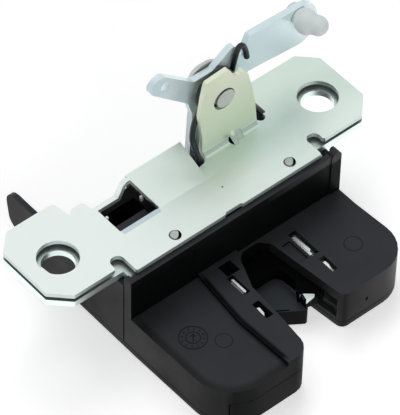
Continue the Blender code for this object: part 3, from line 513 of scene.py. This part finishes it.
# Dark colour, light colour, roughness, share of metal
steels = {
    "frame": ("zincFrame", (0.62, 0.72, 0.69), (0.76, 0.85, 0.83), (0.30, 0.42), 0.85),
    "lever": ("blueZinc", (0.74, 0.91, 0.97), (0.86, 0.97, 1.0), (0.33, 0.38), 0.22),
    "pin": ("turnedPin", (0.42, 0.44, 0.42), (0.56, 0.58, 0.56), (0.3, 0.45), 0.9),
    "spring": ("blackWire", (0.010, 0.012, 0.013), (0.030, 0.034, 0.036), (0.35, 0.5), 0.4),
    "nib": ("brightNib", (0.80, 0.84, 0.82), (0.92, 0.95, 0.94), (0.3, 0.4), 0.6),
    "can": ("motorCan", (0.52, 0.53, 0.52), (0.66, 0.67, 0.66), (0.25, 0.38), 0.95),
    "contact": ("tinnedContact", (0.62, 0.62, 0.58), (0.76, 0.76, 0.72), (0.22, 0.34), 0.95),
    "screw": ("screwZinc", (0.48, 0.49, 0.45), (0.62, 0.63, 0.58), (0.3, 0.42), 0.95),
}
# Dark colour, light colour, roughness
plastics = {
    # The sill's colour is painted light: a lighter copy of the black moulding where the sill is lit
    "sill": ("wellSill", (0.035, 0.032, 0.042), (0.045, 0.041, 0.052), (0.4, 0.5)),
    "rubber": ("stopRubber", (0.012, 0.012, 0.012), (0.022, 0.021, 0.020), (0.75, 0.9)),
    "gear": ("gearNylon", (0.60, 0.57, 0.48), (0.72, 0.69, 0.60), (0.4, 0.55)),
    "switch": ("switchCase", (0.24, 0.020, 0.014), (0.34, 0.035, 0.024), (0.4, 0.55)),
}
# Dark colour, light colour, roughness, mirror
dullPlastics = {
    "jacket": ("catchJacket", (0.0014, 0.0016, 0.0018), (0.0024, 0.0026, 0.003), (0.6, 0.7), 0.02),
    "shade": ("deepShade", (0.002, 0.002, 0.002), (0.004, 0.004, 0.005), (0.8, 0.9), 0.02),
    "mark": ("mouldMark", (0.007, 0.008, 0.009), (0.012, 0.013, 0.015), (0.5, 0.6), 0.1),
}
acetal = {
    "dark": (0.86, 0.94, 0.94),
    "light": (0.92, 0.97, 0.96),
    "rough": (0.32, 0.44),
    "grain": 1500.0,
    "depth": 0.00001,
}
finishes = {
    "plate": plateSteel("zincPlate", plateTints),
    "housing": housingPlastic("blackMoulding", housingTints),
    "cover": housingPlastic("coverMoulding", coverTints),
    "socket": mouldedPlastic("socketAcetal", **acetal),
}
for label, values in steels.items():
    finishes[label] = platedSteel(*values)
for label, values in plastics.items():
    finishes[label] = mouldedPlastic(*values)
for label, (*values, mirror) in dullPlastics.items():
    finishes[label] = mouldedPlastic(*values, mirror=mirror)
slotFinish = {
    "plate_steel": "plate", "frame_steel": "frame", "lever_steel": "lever", "pin_steel": "pin",
    "spring_black": "spring", "housing_black": "housing", "cover_black": "cover",
    "jacket_black": "jacket", "socket_white": "socket", "rubber_black": "rubber",
    "gear_nylon": "gear", "motor_can": "can", "switch_red": "switch",
    "contact_tin": "contact", "screw_zinc": "screw",
}
nodeSlot = {part["node"]: part["material_slot"] for part in frame["record"]["subparts"]}
nodeBody = {}
for bodyName, members in frame["record"]["behaviour"]["bodies"].items():
    for member in members:
        nodeBody[member] = bodyName
for nodeName, node in nodes.items():
    node.data.materials.clear()
    node.data.materials.append(finishes[slotFinish[nodeSlot[nodeName]]])
print("finishes made")


def newPiece(name, shape, finish, body):
    mesh = bpy.data.meshes.new(name)
    shape.to_mesh(mesh)
    shape.free()
    piece = bpy.data.objects.new(name, mesh)
    bpy.context.scene.collection.objects.link(piece)
    mesh.materials.append(finishes[finish])
    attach(piece, body)
    return piece


def settle(piece):
    bpy.context.view_layer.update()
    graph = bpy.context.evaluated_depsgraph_get()
    mesh = bpy.data.meshes.new_from_object(piece.evaluated_get(graph))
    piece.modifiers.clear()
    piece.data = mesh


rounding = {"segments": 3, "angle": 30.0, "weight": 80}


def roundEdges(piece, width):
    bevel = piece.modifiers.new("edges", "BEVEL")
    bevel.width = width
    bevel.segments = rounding["segments"]
    bevel.limit_method = "ANGLE"
    bevel.angle_limit = math.radians(rounding["angle"])
    bevel.harden_normals = False
    settle(piece)
    piece.data.shade_smooth()
    weight = piece.modifiers.new("faces", "WEIGHTED_NORMAL")
    weight.weight = rounding["weight"]
    weight.keep_sharp = True
    settle(piece)


carving = {
    "mounting_plate": [
        ((-29.9, -3.7, 29.5), (-15.3, 0.5, 33.4)),
        ((19.5, 0.0, 33.02), (22.1, 3.58, 38.4)),
    ],
}


def carveBox(piece, low, high):
    shape = bmesh.new()
    bmesh.ops.create_cube(shape, size=1.0)
    for vert in shape.verts:
        vert.co = [((a + b) / 2 + (b - a) * c) * mm for a, b, c in zip(low, high, vert.co)]
    mesh = bpy.data.meshes.new("carver")
    shape.to_mesh(mesh)
    shape.free()
    carver = bpy.data.objects.new("carver", mesh)
    bpy.context.scene.collection.objects.link(carver)
    cut = piece.modifiers.new("carve", "BOOLEAN")
    cut.operation = "DIFFERENCE"
    cut.solver = "EXACT"
    cut.object = carver
    settle(piece)
    bpy.data.objects.remove(carver)


cleaning = {"weld": 0.000002, "flatAngle": 0.6}


def dressNode(nodeName, pieceName, width):
    source = nodes[nodeName]
    shape = bmesh.new()
    shape.from_mesh(source.data)
    bmesh.ops.remove_doubles(shape, verts=shape.verts, dist=cleaning["weld"])
    flat = math.radians(cleaning["flatAngle"])
    bmesh.ops.dissolve_limit(shape, angle_limit=flat, verts=shape.verts, edges=shape.edges)
    slot = nodeSlot[nodeName]
    piece = newPiece(pieceName, shape, slotFinish[slot], nodeBody[nodeName])
    for corners in carving.get(nodeName, []):
        carveBox(piece, *corners)
    roundEdges(piece, width)
    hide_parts(nodeName)


dressing = {
    "mounting_plate": ("mountingPlate", 0.00028),
    "latch_frame": ("latchFrame", 0.00030),
    "front_housing": ("frontHousing", 0.00035),
    "rear_housing": ("rearHousing", 0.00040),
    "base_cover": ("baseCover", 0.00035),
    "release_lever": ("releaseLever", 0.00030),
    "lever_pin": ("leverPin", 0.00035),
    "lever_washer": ("leverWasher", 0.00025),
    "catch": ("catchSteel", 0.00025),
    "catch_cover": ("catchJacket", 0.00030),
    "pawl": ("pawlSteel", 0.00025),
    "catch_retainer": ("catchKeeper", 0.00025),
    "pawl_retainer": ("pawlKeeper", 0.00025),
    "plate_rivet_1": ("leftRivet", 0.00030),
    "plate_rivet_2": ("rightRivet", 0.00030),
    "motor": ("motorCase", 0.00050),
    "microswitch": ("switchCase", 0.00030),
}
for nodeName, (pieceName, width) in dressing.items():
    dressNode(nodeName, pieceName, width)


clawLook = {
    "dark": (0.60, 0.68, 0.66),
    "light": (0.72, 0.80, 0.78),
    "shadow": (0.004, 0.0045, 0.0045),
    "low": ((-0.545, 0.0, 1.0), 0.0047, 0.0044),
    "left": (-0.85, -0.60),
    "front": ("Y", -0.0402, -0.0406),
    "metal": 0.6,
    "mirror": (0.5, 0.02),
    "rough": (0.32, 0.42),
}


def clawSteel(name, look):
    material, tree, shader = newMaterial(name)
    zinc = useGroup(tree, zincBloom, Bloom=steelLook["bloom"], Speck=steelLook["speck"])
    stops = list(zip(steelLook["stops"], (look["dark"], look["light"])))
    bright = colourRamp(tree, zinc.outputs["Bloom"], stops)
    low = slanted(tree, *look["low"])
    left = rangeOf(tree, facing(tree)["X"], 1.0, 0.0, *look["left"])
    masked = times(tree, combine(tree, "MAXIMUM", low, left), along(tree, *look["front"]))
    tree.links.new(blend(tree, masked, bright, look["shadow"]), shader.inputs["Base Color"])
    tree.links.new(rangeOf(tree, masked, look["metal"], 0.0, 0.0, 1.0), shader.inputs["Metallic"])
    mirror = rangeOf(tree, masked, *look["mirror"], 0.0, 1.0)
    tree.links.new(mirror, shader.inputs["Specular IOR Level"])
    tree.links.new(rangeOf(tree, zinc.outputs["Drag"], *look["rough"]), shader.inputs["Roughness"])
    bumpFrom(tree, zinc.outputs["Speck"], steelLook["bump"], steelLook["depth"], shader)
    return material


bpy.data.objects["catchSteel"].data.materials[0] = clawSteel("clawSteel", clawLook)
print("solids dressed")

springSize = {
    "axis": (0.016, 0.0524),
    "wire": 0.0009,
    "radius": 0.0066,
    "firstY": 0.0064,
    "pitch": 0.0017,
    "turns": 1.62,
    "start": 188.0,
    "steps": 90,
    "foot": [(0.0057, 0.0030, 0.0290), (0.0057, 0.0031, 0.0335)],
    "leg": [(0.0060, 0.0385), (0.0064, 0.0450), (0.0084, 0.0502)],
    "hook": [
        (0.0232, 0.0552),
        (0.0245, 0.0606),
        (0.0255, 0.0630),
        (0.0269, 0.0630),
        (0.0281, 0.0606),
        (0.0289, 0.0568),
    ],
}


def smoothPath(points, steps=6):
    result = []
    count = len(points)
    for i in range(count - 1):
        p0 = Vector(points[max(i - 1, 0)])
        p1 = Vector(points[i])
        p2 = Vector(points[i + 1])
        p3 = Vector(points[min(i + 2, count - 1)])
        for k in range(steps):
            t = k / steps
            square = (2 * p0 - 5 * p1 + 4 * p2 - p3) * t * t
            cube = (3 * p1 - p0 - 3 * p2 + p3) * t ** 3
            result.append(0.5 * ((2 * p1) + (p2 - p0) * t + square + cube))
    result.append(Vector(points[-1]))
    return result


def wirePiece(name, points, radius, body):
    curve = bpy.data.curves.new(name, "CURVE")
    curve.dimensions = "3D"
    curve.bevel_depth = radius
    curve.bevel_resolution = 5
    curve.use_fill_caps = True
    line = curve.splines.new("POLY")
    line.points.add(len(points) - 1)
    for point, place in zip(line.points, points):
        point.co = (*place, 1.0)
    holder = bpy.data.objects.new(name + "Curve", curve)
    bpy.context.scene.collection.objects.link(holder)
    bpy.context.view_layer.update()
    graph = bpy.context.evaluated_depsgraph_get()
    mesh = bpy.data.meshes.new_from_object(holder.evaluated_get(graph))
    bpy.data.objects.remove(holder)
    shape = bmesh.new()
    shape.from_mesh(mesh)
    bmesh.ops.remove_doubles(shape, verts=shape.verts, dist=0.000001)
    bmesh.ops.recalc_face_normals(shape, faces=shape.faces)
    piece = newPiece(name, shape, "spring", body)
    piece.data.shade_smooth()
    piece.data.set_sharp_from_angle(angle=math.radians(50.0))
    return piece


def leverSpring(size):
    first = size["firstY"]
    points = smoothPath(size["foot"] + [(x, first, z) for x, z in size["leg"]])[:-1]
    for i in range(size["steps"] + 1):
        part = size["turns"] * i / size["steps"]
        at = math.radians(size["start"] - 360.0 * part)
        across = size["axis"][0] + size["radius"] * math.cos(at)
        up = size["axis"][1] + size["radius"] * math.sin(at)
        points.append(Vector((across, first + size["pitch"] * part, up)))
    last = first + size["pitch"] * size["turns"]
    hook = [points[-1]] + [(x, last, z) for x, z in size["hook"]]
    points += smoothPath(hook)[1:]
    piece = wirePiece("leverCoil", points, size["wire"], nodeBody["lever_spring"])
    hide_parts("lever_spring")


leverSpring(springSize)
print("spring wound")

socketSize = {
    "place": (0.0502, 0.0104, 0.0596),
    "ball": 4.0,
    "middle": 3.7,
    "stud": 2.2,
    "gap": 0.3,
    "discEdge": (2.2, 1.1),
    "discFull": (2.6, 0.8),
    "neck": 1.5,
    "collar": 2.9,
    "ballArc": (-44.0, 134.0),
    "ballSteps": 23,
    "nose": 3.2,
    "noseFoot": 3.6,
    "noseSteps": 13,
    "noseTurn": 26.0,
}


def spunShape(profile, steps=48):
    shape = bmesh.new()
    ring = [shape.verts.new((radius * mm, 0.0, height * mm)) for radius, height in profile]
    edges = [shape.edges.new(pair) for pair in zip(ring, ring[1:])]
    about = {"cent": (0, 0, 0), "axis": (0, 0, 1), "angle": math.tau}
    bmesh.ops.spin(shape, geom=ring + edges, steps=steps, use_merge=True, **about)
    bmesh.ops.remove_doubles(shape, verts=shape.verts, dist=0.000002)
    bmesh.ops.recalc_face_normals(shape, faces=shape.faces)
    return shape


def rodSocket(size):
    gap = size["gap"]
    back = -size["stud"] - gap
    edge, thick = size["discEdge"]
    full, straight = size["discFull"]
    profile = [(0.0, back - thick), (edge, back - thick), (full, back - straight), (full, back)]
    profile += [(size["neck"], back), (size["neck"], gap), (size["collar"], gap)]
    begin, sweep = size["ballArc"]
    for k in range(size["ballSteps"] + 1):
        at = math.radians(begin + sweep * k / size["ballSteps"])
        profile.append((size["ball"] * math.cos(at), size["middle"] + size["ball"] * math.sin(at)))
    profile[-1] = (0.0, size["middle"] + size["ball"])
    body = newPiece("rodSocket", spunShape(profile), "socket", nodeBody["rod_socket"])
    nose, foot = size["nose"], size["noseFoot"]
    dome = [(0.0, 0.0), (nose, 0.0), (nose, foot)]
    for k in range(1, size["noseSteps"] + 1):
        at = math.radians(90.0 * k / size["noseSteps"])
        dome.append((nose * math.cos(at), foot + nose * math.sin(at)))
    dome[-1] = (0.0, foot + nose)
    shape = spunShape(dome)
    lean = Matrix.Rotation(math.radians(size["noseTurn"]), 3, "Y")
    bmesh.ops.rotate(shape, verts=shape.verts, cent=(0, 0, 0), matrix=lean)
    bmesh.ops.translate(shape, verts=shape.verts, vec=(0, 0, size["middle"] * mm))
    mesh = bpy.data.meshes.new("socketNose")
    shape.to_mesh(mesh)
    shape.free()
    tip = bpy.data.objects.new("socketNose", mesh)
    bpy.context.scene.collection.objects.link(tip)
    merge = body.modifiers.new("nose", "BOOLEAN")
    merge.operation = "UNION"
    merge.solver = "EXACT"
    merge.object = tip
    settle(body)
    bpy.data.objects.remove(tip)
    turn = Matrix.Rotation(math.radians(90.0), 4, "X")
    body.data.transform(Matrix.Translation(size["place"]) @ turn)
    body.data.shade_smooth()
    body.data.set_sharp_from_angle(angle=math.radians(62.0))
    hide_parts("rod_socket")


rodSocket(socketSize)
print("socket turned")


def slab(shape, corners, low, high):
    bottom = [shape.verts.new((x * mm, y * mm, low * mm)) for x, y in corners]
    top = [shape.verts.new((x * mm, y * mm, high * mm)) for x, y in corners]
    shape.faces.new(list(reversed(bottom)))
    shape.faces.new(top)
    count = len(corners)
    for i in range(count):
        n = (i + 1) % count
        shape.faces.new((bottom[i], bottom[n], top[n], top[i]))


def ringBand(shape, centre, radius, width, low, high, steps=40):
    rings = []
    inner = radius - width
    for reach, level in ((radius, low), (radius, high), (inner, high), (inner, low)):
        ring = []
        for k in range(steps):
            at = math.tau * k / steps
            x = centre[0] + reach * math.cos(at)
            y = centre[1] + reach * math.sin(at)
            ring.append(shape.verts.new((x * mm, y * mm, level * mm)))
        rings.append(ring)
    for first, second in zip(rings, rings[1:] + rings[:1]):
        for k in range(steps):
            n = (k + 1) % steps
            shape.faces.new((first[k], first[n], second[n], second[k]))


def addSlab(name, corners, low, high, finish, node, slot, width=0.0):
    shape = bmesh.new()
    slab(shape, corners, low, high)
    bmesh.ops.recalc_face_normals(shape, faces=shape.faces)
    piece = newPiece(name, shape, finish, nodeBody[node])
    if width:
        roundEdges(piece, width)


keeperEnds = {
    "leftKeeperTab": ([(-7.4, -27.4), (-6.5, -27.5), (-6.5, -33.6), (-7.2, -33.9), (-7.4, -33.3)], 15.9),
    "leftKeeperHorn": ([(-8.2, -39.8), (-7.2, -40.2), (-7.5, -42.6), (-8.7, -44.2), (-8.4, -42.2)], 15.2),
    "rightKeeperTab": ([(18.1, -25.6), (19.2, -25.6), (19.6, -32.3), (18.9, -32.9), (18.3, -32.4)], 14.3),
    "rightKeeperHorn": ([(18.8, -38.4), (19.9, -38.6), (19.9, -40.4), (18.8, -42.4)], 14.3),
}
keeperFoot = 12.4
keeperEdge = 0.00015
for pieceName, (corners, top) in keeperEnds.items():
    outline = list(reversed(corners))
    addSlab(pieceName, outline, keeperFoot, top, "nib", "catch_retainer", "plate_steel", keeperEdge)
print("keeper ends set")

clock = {
    "centre": (-29.5, -36.5),
    "radius": 4.4,
    "inner": 2.3,
    "line": 0.32,
    "innerLine": 0.30,
    "innerSteps": 28,
    "low": 14.9,
    "top": 15.06,
    "ticks": 12,
    "tickHalf": 0.16,
    "tickInset": (0.55, 0.75),
    "arrow": [
        (-0.16, -1.5),
        (0.16, -1.5),
        (0.16, 0.5),
        (0.85, 0.5),
        (0.0, 1.6),
        (-0.85, 0.5),
        (-0.16, 0.5),
    ],
    "arrowTurn": -38.0,
}


def dateClock(size):
    shape = bmesh.new()
    low, top = size["low"], size["top"]
    centre = Vector(size["centre"])
    ringBand(shape, size["centre"], size["radius"], size["line"], low, top)
    ringBand(shape, size["centre"], size["inner"], size["innerLine"], low, top, size["innerSteps"])
    for k in range(size["ticks"]):
        at = math.tau * (k + 0.5) / size["ticks"]
        ahead = Vector((math.cos(at), math.sin(at)))
        side = Vector((-ahead.y, ahead.x)) * size["tickHalf"]
        near = centre + ahead * (size["inner"] + size["tickInset"][0])
        far = centre + ahead * (size["radius"] - size["tickInset"][1])
        tick = (near - side, far - side, far + side, near + side)
        slab(shape, [tuple(corner) for corner in tick], low, top)
    turn = Matrix.Rotation(math.radians(size["arrowTurn"]), 2)
    slab(shape, [tuple(centre + turn @ Vector(corner)) for corner in size["arrow"]], low, top)
    bmesh.ops.recalc_face_normals(shape, faces=shape.faces)
    newPiece("dateClock", shape, "mark", nodeBody["front_housing"])


dateClock(clock)
ejectorRings = {"leftEjectorRing": ((-23.3, -43.0), 2.7), "rightEjectorRing": ((30.3, -39.3), 2.9)}
ejectorLine = {"width": 0.22, "low": 14.9, "high": 15.03}
for pieceName, (centre, radius) in ejectorRings.items():
    shape = bmesh.new()
    ringBand(shape, centre, radius, **ejectorLine)
    bmesh.ops.recalc_face_normals(shape, faces=shape.faces)
    newPiece(pieceName, shape, "mark", nodeBody["front_housing"])
print("mould marks set")


def oblong(left, front, right, rear):
    return [(left, front), (right, front), (right, rear), (left, rear)]


slitCorners = [(0.1, -39.1), (3.8, -41.4), (4.0, -41.0), (0.4, -38.7)]
# Outline, low and high level, finish, node that carries the piece, slot, edge radius in metres
smallPieces = {
    # Painted light: a lighter slab on the lit sill inside the plug window
    "plugSillLit": (
        oblong(-29.3, -1.4, -15.5, 2.5), 25.6, 27.3, "sill", "rear_housing", "housing_black", 0.0004
    ),
    # The next four pieces are thin dark slabs of painted shade: in a pocket, in a slit, on a wall's edge
    # and in a dimple
    "pocketShade": (
        oblong(-7.5, -26.3, -3.1, -21.9), 14.5, 14.86, "shade", "front_housing", "housing_black"
    ),
    "floorSlitShade": (slitCorners, 6.0, 6.24, "shade", "base_cover", "cover_black"),
    "wallEdge": (
        oblong(-15.42, -20.05, -15.18, -19.8), 16.4, 27.8, "shade", "front_housing", "housing_black"
    ),
    "lobeDimpleShade": (
        oblong(23.6, -52.95, 24.4, -52.6), 6.4, 7.6, "shade", "front_housing", "housing_black"
    ),
    "plateDot": (oblong(4.0, -9.7, 4.5, -9.2), 32.9, 33.02, "mark", "mounting_plate", "plate_steel"),
    "leftPlugNib": (
        oblong(-28.9, 3.6, -28.0, 4.6), 29.6, 31.4, "nib", "mounting_plate", "plate_steel", 0.0003
    ),
    "rightPlugNib": (
        oblong(-16.1, 3.3, -15.1, 4.4), 29.6, 31.4, "nib", "mounting_plate", "plate_steel", 0.0003
    ),
}
for pieceName, values in smallPieces.items():
    addSlab(pieceName, *values)

# The bulge holds shares of a section's reach and rise between its top and its front
wedgeSet = {"sunk": 0.4, "skin": 0.02, "bulge": ((0.40, 0.66), (0.72, 0.32)), "sharp": 65.0}


def wedgePiece(name, sections, foot, finish, node):
    shape = bmesh.new()
    rings = []
    for across, rise, reach in sections:
        ring = [(foot[0] + wedgeSet["sunk"], foot[1] - wedgeSet["sunk"])]
        ring.append((foot[0] + wedgeSet["skin"], foot[1] + rise))
        ring += [(foot[0] - out * reach, foot[1] + up * rise) for out, up in wedgeSet["bulge"]]
        ring.append((foot[0] - reach, foot[1] + wedgeSet["skin"]))
        rings.append([shape.verts.new((across * mm, y * mm, z * mm)) for y, z in ring])
    count = len(rings[0])
    for first, second in zip(rings, rings[1:]):
        for k in range(count):
            n = (k + 1) % count
            shape.faces.new((first[k], second[k], second[n], first[n]))
    shape.faces.new(rings[0])
    shape.faces.new(list(reversed(rings[-1])))
    bmesh.ops.recalc_face_normals(shape, faces=shape.faces)
    piece = newPiece(name, shape, finish, nodeBody[node])
    piece.data.shade_smooth()
    piece.data.set_sharp_from_angle(angle=math.radians(wedgeSet["sharp"]))


# Place along X, rise above the plate and reach ahead of the lug
dartShape = [
    (18.0, 2.6, 2.9),
    (18.4, 3.4, 3.2),
    (19.2, 3.4, 3.1),
    (19.9, 2.4, 2.3),
    (20.6, 2.3, 2.3),
    (21.4, 2.3, 2.4),
    (22.2, 2.0, 2.1),
    (22.8, 0.6, 0.7),
]
# The opening beside the dart is a dark wedge of painted shade, not a hole
openingShape = [(16.3, 0.05, 0.05), (17.98, 1.6, 2.6)]
wedgePiece("footDart", dartShape, (3.6, 33.0), "plate", "mounting_plate")
wedgePiece("dartOpeningShade", openingShape, (3.58, 33.0), "shade", "mounting_plate")

finRoot = {
    "outline": [
        (3.0, 18.0),
        (11.0, 9.0),
        (14.0, 4.8),
        (22.0, 3.4),
        (27.0, 5.8),
        (27.0, 10.0),
        (20.0, 24.3),
        (12.0, 25.5),
        (3.0, 25.5),
    ],
    "inner": 39.2,
    "outer": 40.95,
}
shape = bmesh.new()
slab(shape, finRoot["outline"], finRoot["inner"], finRoot["outer"])
for vert in shape.verts:
    vert.co = (-vert.co.z, vert.co.x, vert.co.y)
bmesh.ops.recalc_face_normals(shape, faces=shape.faces)
newPiece("finRoot", shape, "housing", nodeBody["rear_housing"])

rivetShade = {
    "centres": {"left": (-18.4, -14.9), "right": (26.0, -14.6)},
    "radius": 1.72,
    "width": 0.75,
    "least": 0.02,
    "low": 33.30,
    "high": 33.38,
    "middle": -41.0,
    "half": 75.0,
    "steps": 16,
}


def crescent(name, centre, size):
    outer = []
    inner = []
    for k in range(size["steps"] + 1):
        part = k / size["steps"]
        at = math.radians(size["middle"] + size["half"] * (2.0 * part - 1.0))
        reach = size["radius"] - size["width"] * math.sin(math.pi * part) - size["least"]
        for line, far in ((outer, size["radius"]), (inner, reach)):
            line.append((centre[0] + far * math.cos(at), centre[1] + far * math.sin(at)))
    outline = outer + list(reversed(inner))
    addSlab(name, outline, size["low"], size["high"], "shade", "mounting_plate", "plate_steel")


for side, centre in rivetShade["centres"].items():
    crescent(side + "RivetShade", centre, rivetShade)
print("small details set")

studio = {
    "aim": (0.0, -0.01, 0.03),
    "soft": 0.14,
    "bright": 1.25,
    "key": (0.7, 5.8, (0.40, 0.70, 1.20)),
    "back": (0.9, 4.2, (-0.30, 0.40, 1.35)),
    "fill": (0.6, 5.4, (-0.20, -1.15, 0.62)),
}
floorLook = {
    "depth": -0.0004,
    "half": 3.0,
    "grey": 0.85,
    "rough": 0.9,
    "mirroredGlow": 0.95,
    "directGlow": 0.5,
}


def aimAt(place, target):
    return (Vector(target) - Vector(place)).to_track_quat("-Z", "Y").to_euler()


def seenStraight(tree):
    path = tree.nodes.new("ShaderNodeLightPath")
    total = path.outputs["Is Camera Ray"]
    for ray in ("Is Glossy Ray", "Is Transmission Ray"):
        total = combine(tree, "MAXIMUM", total, path.outputs[ray])
    return total


def addStudio(look):
    for name in ("key", "back", "fill"):
        size, power, place = look[name]
        data = bpy.data.lights.new(name + "Panel", "AREA")
        data.shape = "SQUARE"
        data.size = size
        data.energy = power
        lamp = bpy.data.objects.new(name + "Panel", data)
        lamp.location = place
        lamp.visible_glossy = False
        lamp.rotation_euler = aimAt(place, look["aim"])
        bpy.context.scene.collection.objects.link(lamp)
    world = bpy.data.worlds.new("paleStudio")
    bpy.context.scene.world = world
    world.use_nodes = True
    tree = world.node_tree
    plain = tree.nodes["Background"]
    plain.inputs["Color"].default_value = (1.0, 1.0, 1.0, 1.0)
    plain.inputs["Strength"].default_value = look["soft"]
    white = tree.nodes.new("ShaderNodeBackground")
    white.inputs["Strength"].default_value = look["bright"]
    mix = tree.nodes.new("ShaderNodeMixShader")
    tree.links.new(seenStraight(tree), mix.inputs["Fac"])
    tree.links.new(plain.outputs["Background"], mix.inputs[1])
    tree.links.new(white.outputs["Background"], mix.inputs[2])
    tree.links.new(mix.outputs["Shader"], tree.nodes["World Output"].inputs["Surface"])


def addFloor(look):
    shape = bmesh.new()
    bmesh.ops.create_grid(shape, x_segments=1, y_segments=1, size=look["half"])
    bmesh.ops.translate(shape, verts=shape.verts, vec=(0, 0, look["depth"]))
    mesh = bpy.data.meshes.new("paleFloor")
    shape.to_mesh(mesh)
    shape.free()
    floor = bpy.data.objects.new("paleFloor", mesh)
    bpy.context.scene.collection.objects.link(floor)
    material, tree, shader = newMaterial("floorPaper")
    shader.inputs["Base Color"].default_value = (look["grey"], look["grey"], look["grey"], 1.0)
    shader.inputs["Roughness"].default_value = look["rough"]
    glow = tree.nodes.new("ShaderNodeEmission")
    path = tree.nodes.new("ShaderNodeLightPath")
    mirrored = rangeOf(tree, path.outputs["Is Glossy Ray"], 0.0, look["mirroredGlow"], 0.0, 1.0)
    direct = rangeOf(tree, seenStraight(tree), 0.0, look["directGlow"], 0.0, 1.0)
    tree.links.new(combine(tree, "MAXIMUM", mirrored, direct), glow.inputs["Strength"])
    both = tree.nodes.new("ShaderNodeAddShader")
    tree.links.new(shader.outputs["BSDF"], both.inputs[0])
    tree.links.new(glow.outputs["Emission"], both.inputs[1])
    tree.links.new(both.outputs["Shader"], tree.nodes["Material Output"].inputs["Surface"])
    mesh.materials.append(material)


addStudio(studio)
addFloor(floorLook)
bpy.context.scene.view_settings.view_transform = "Standard"
print("studio lit")
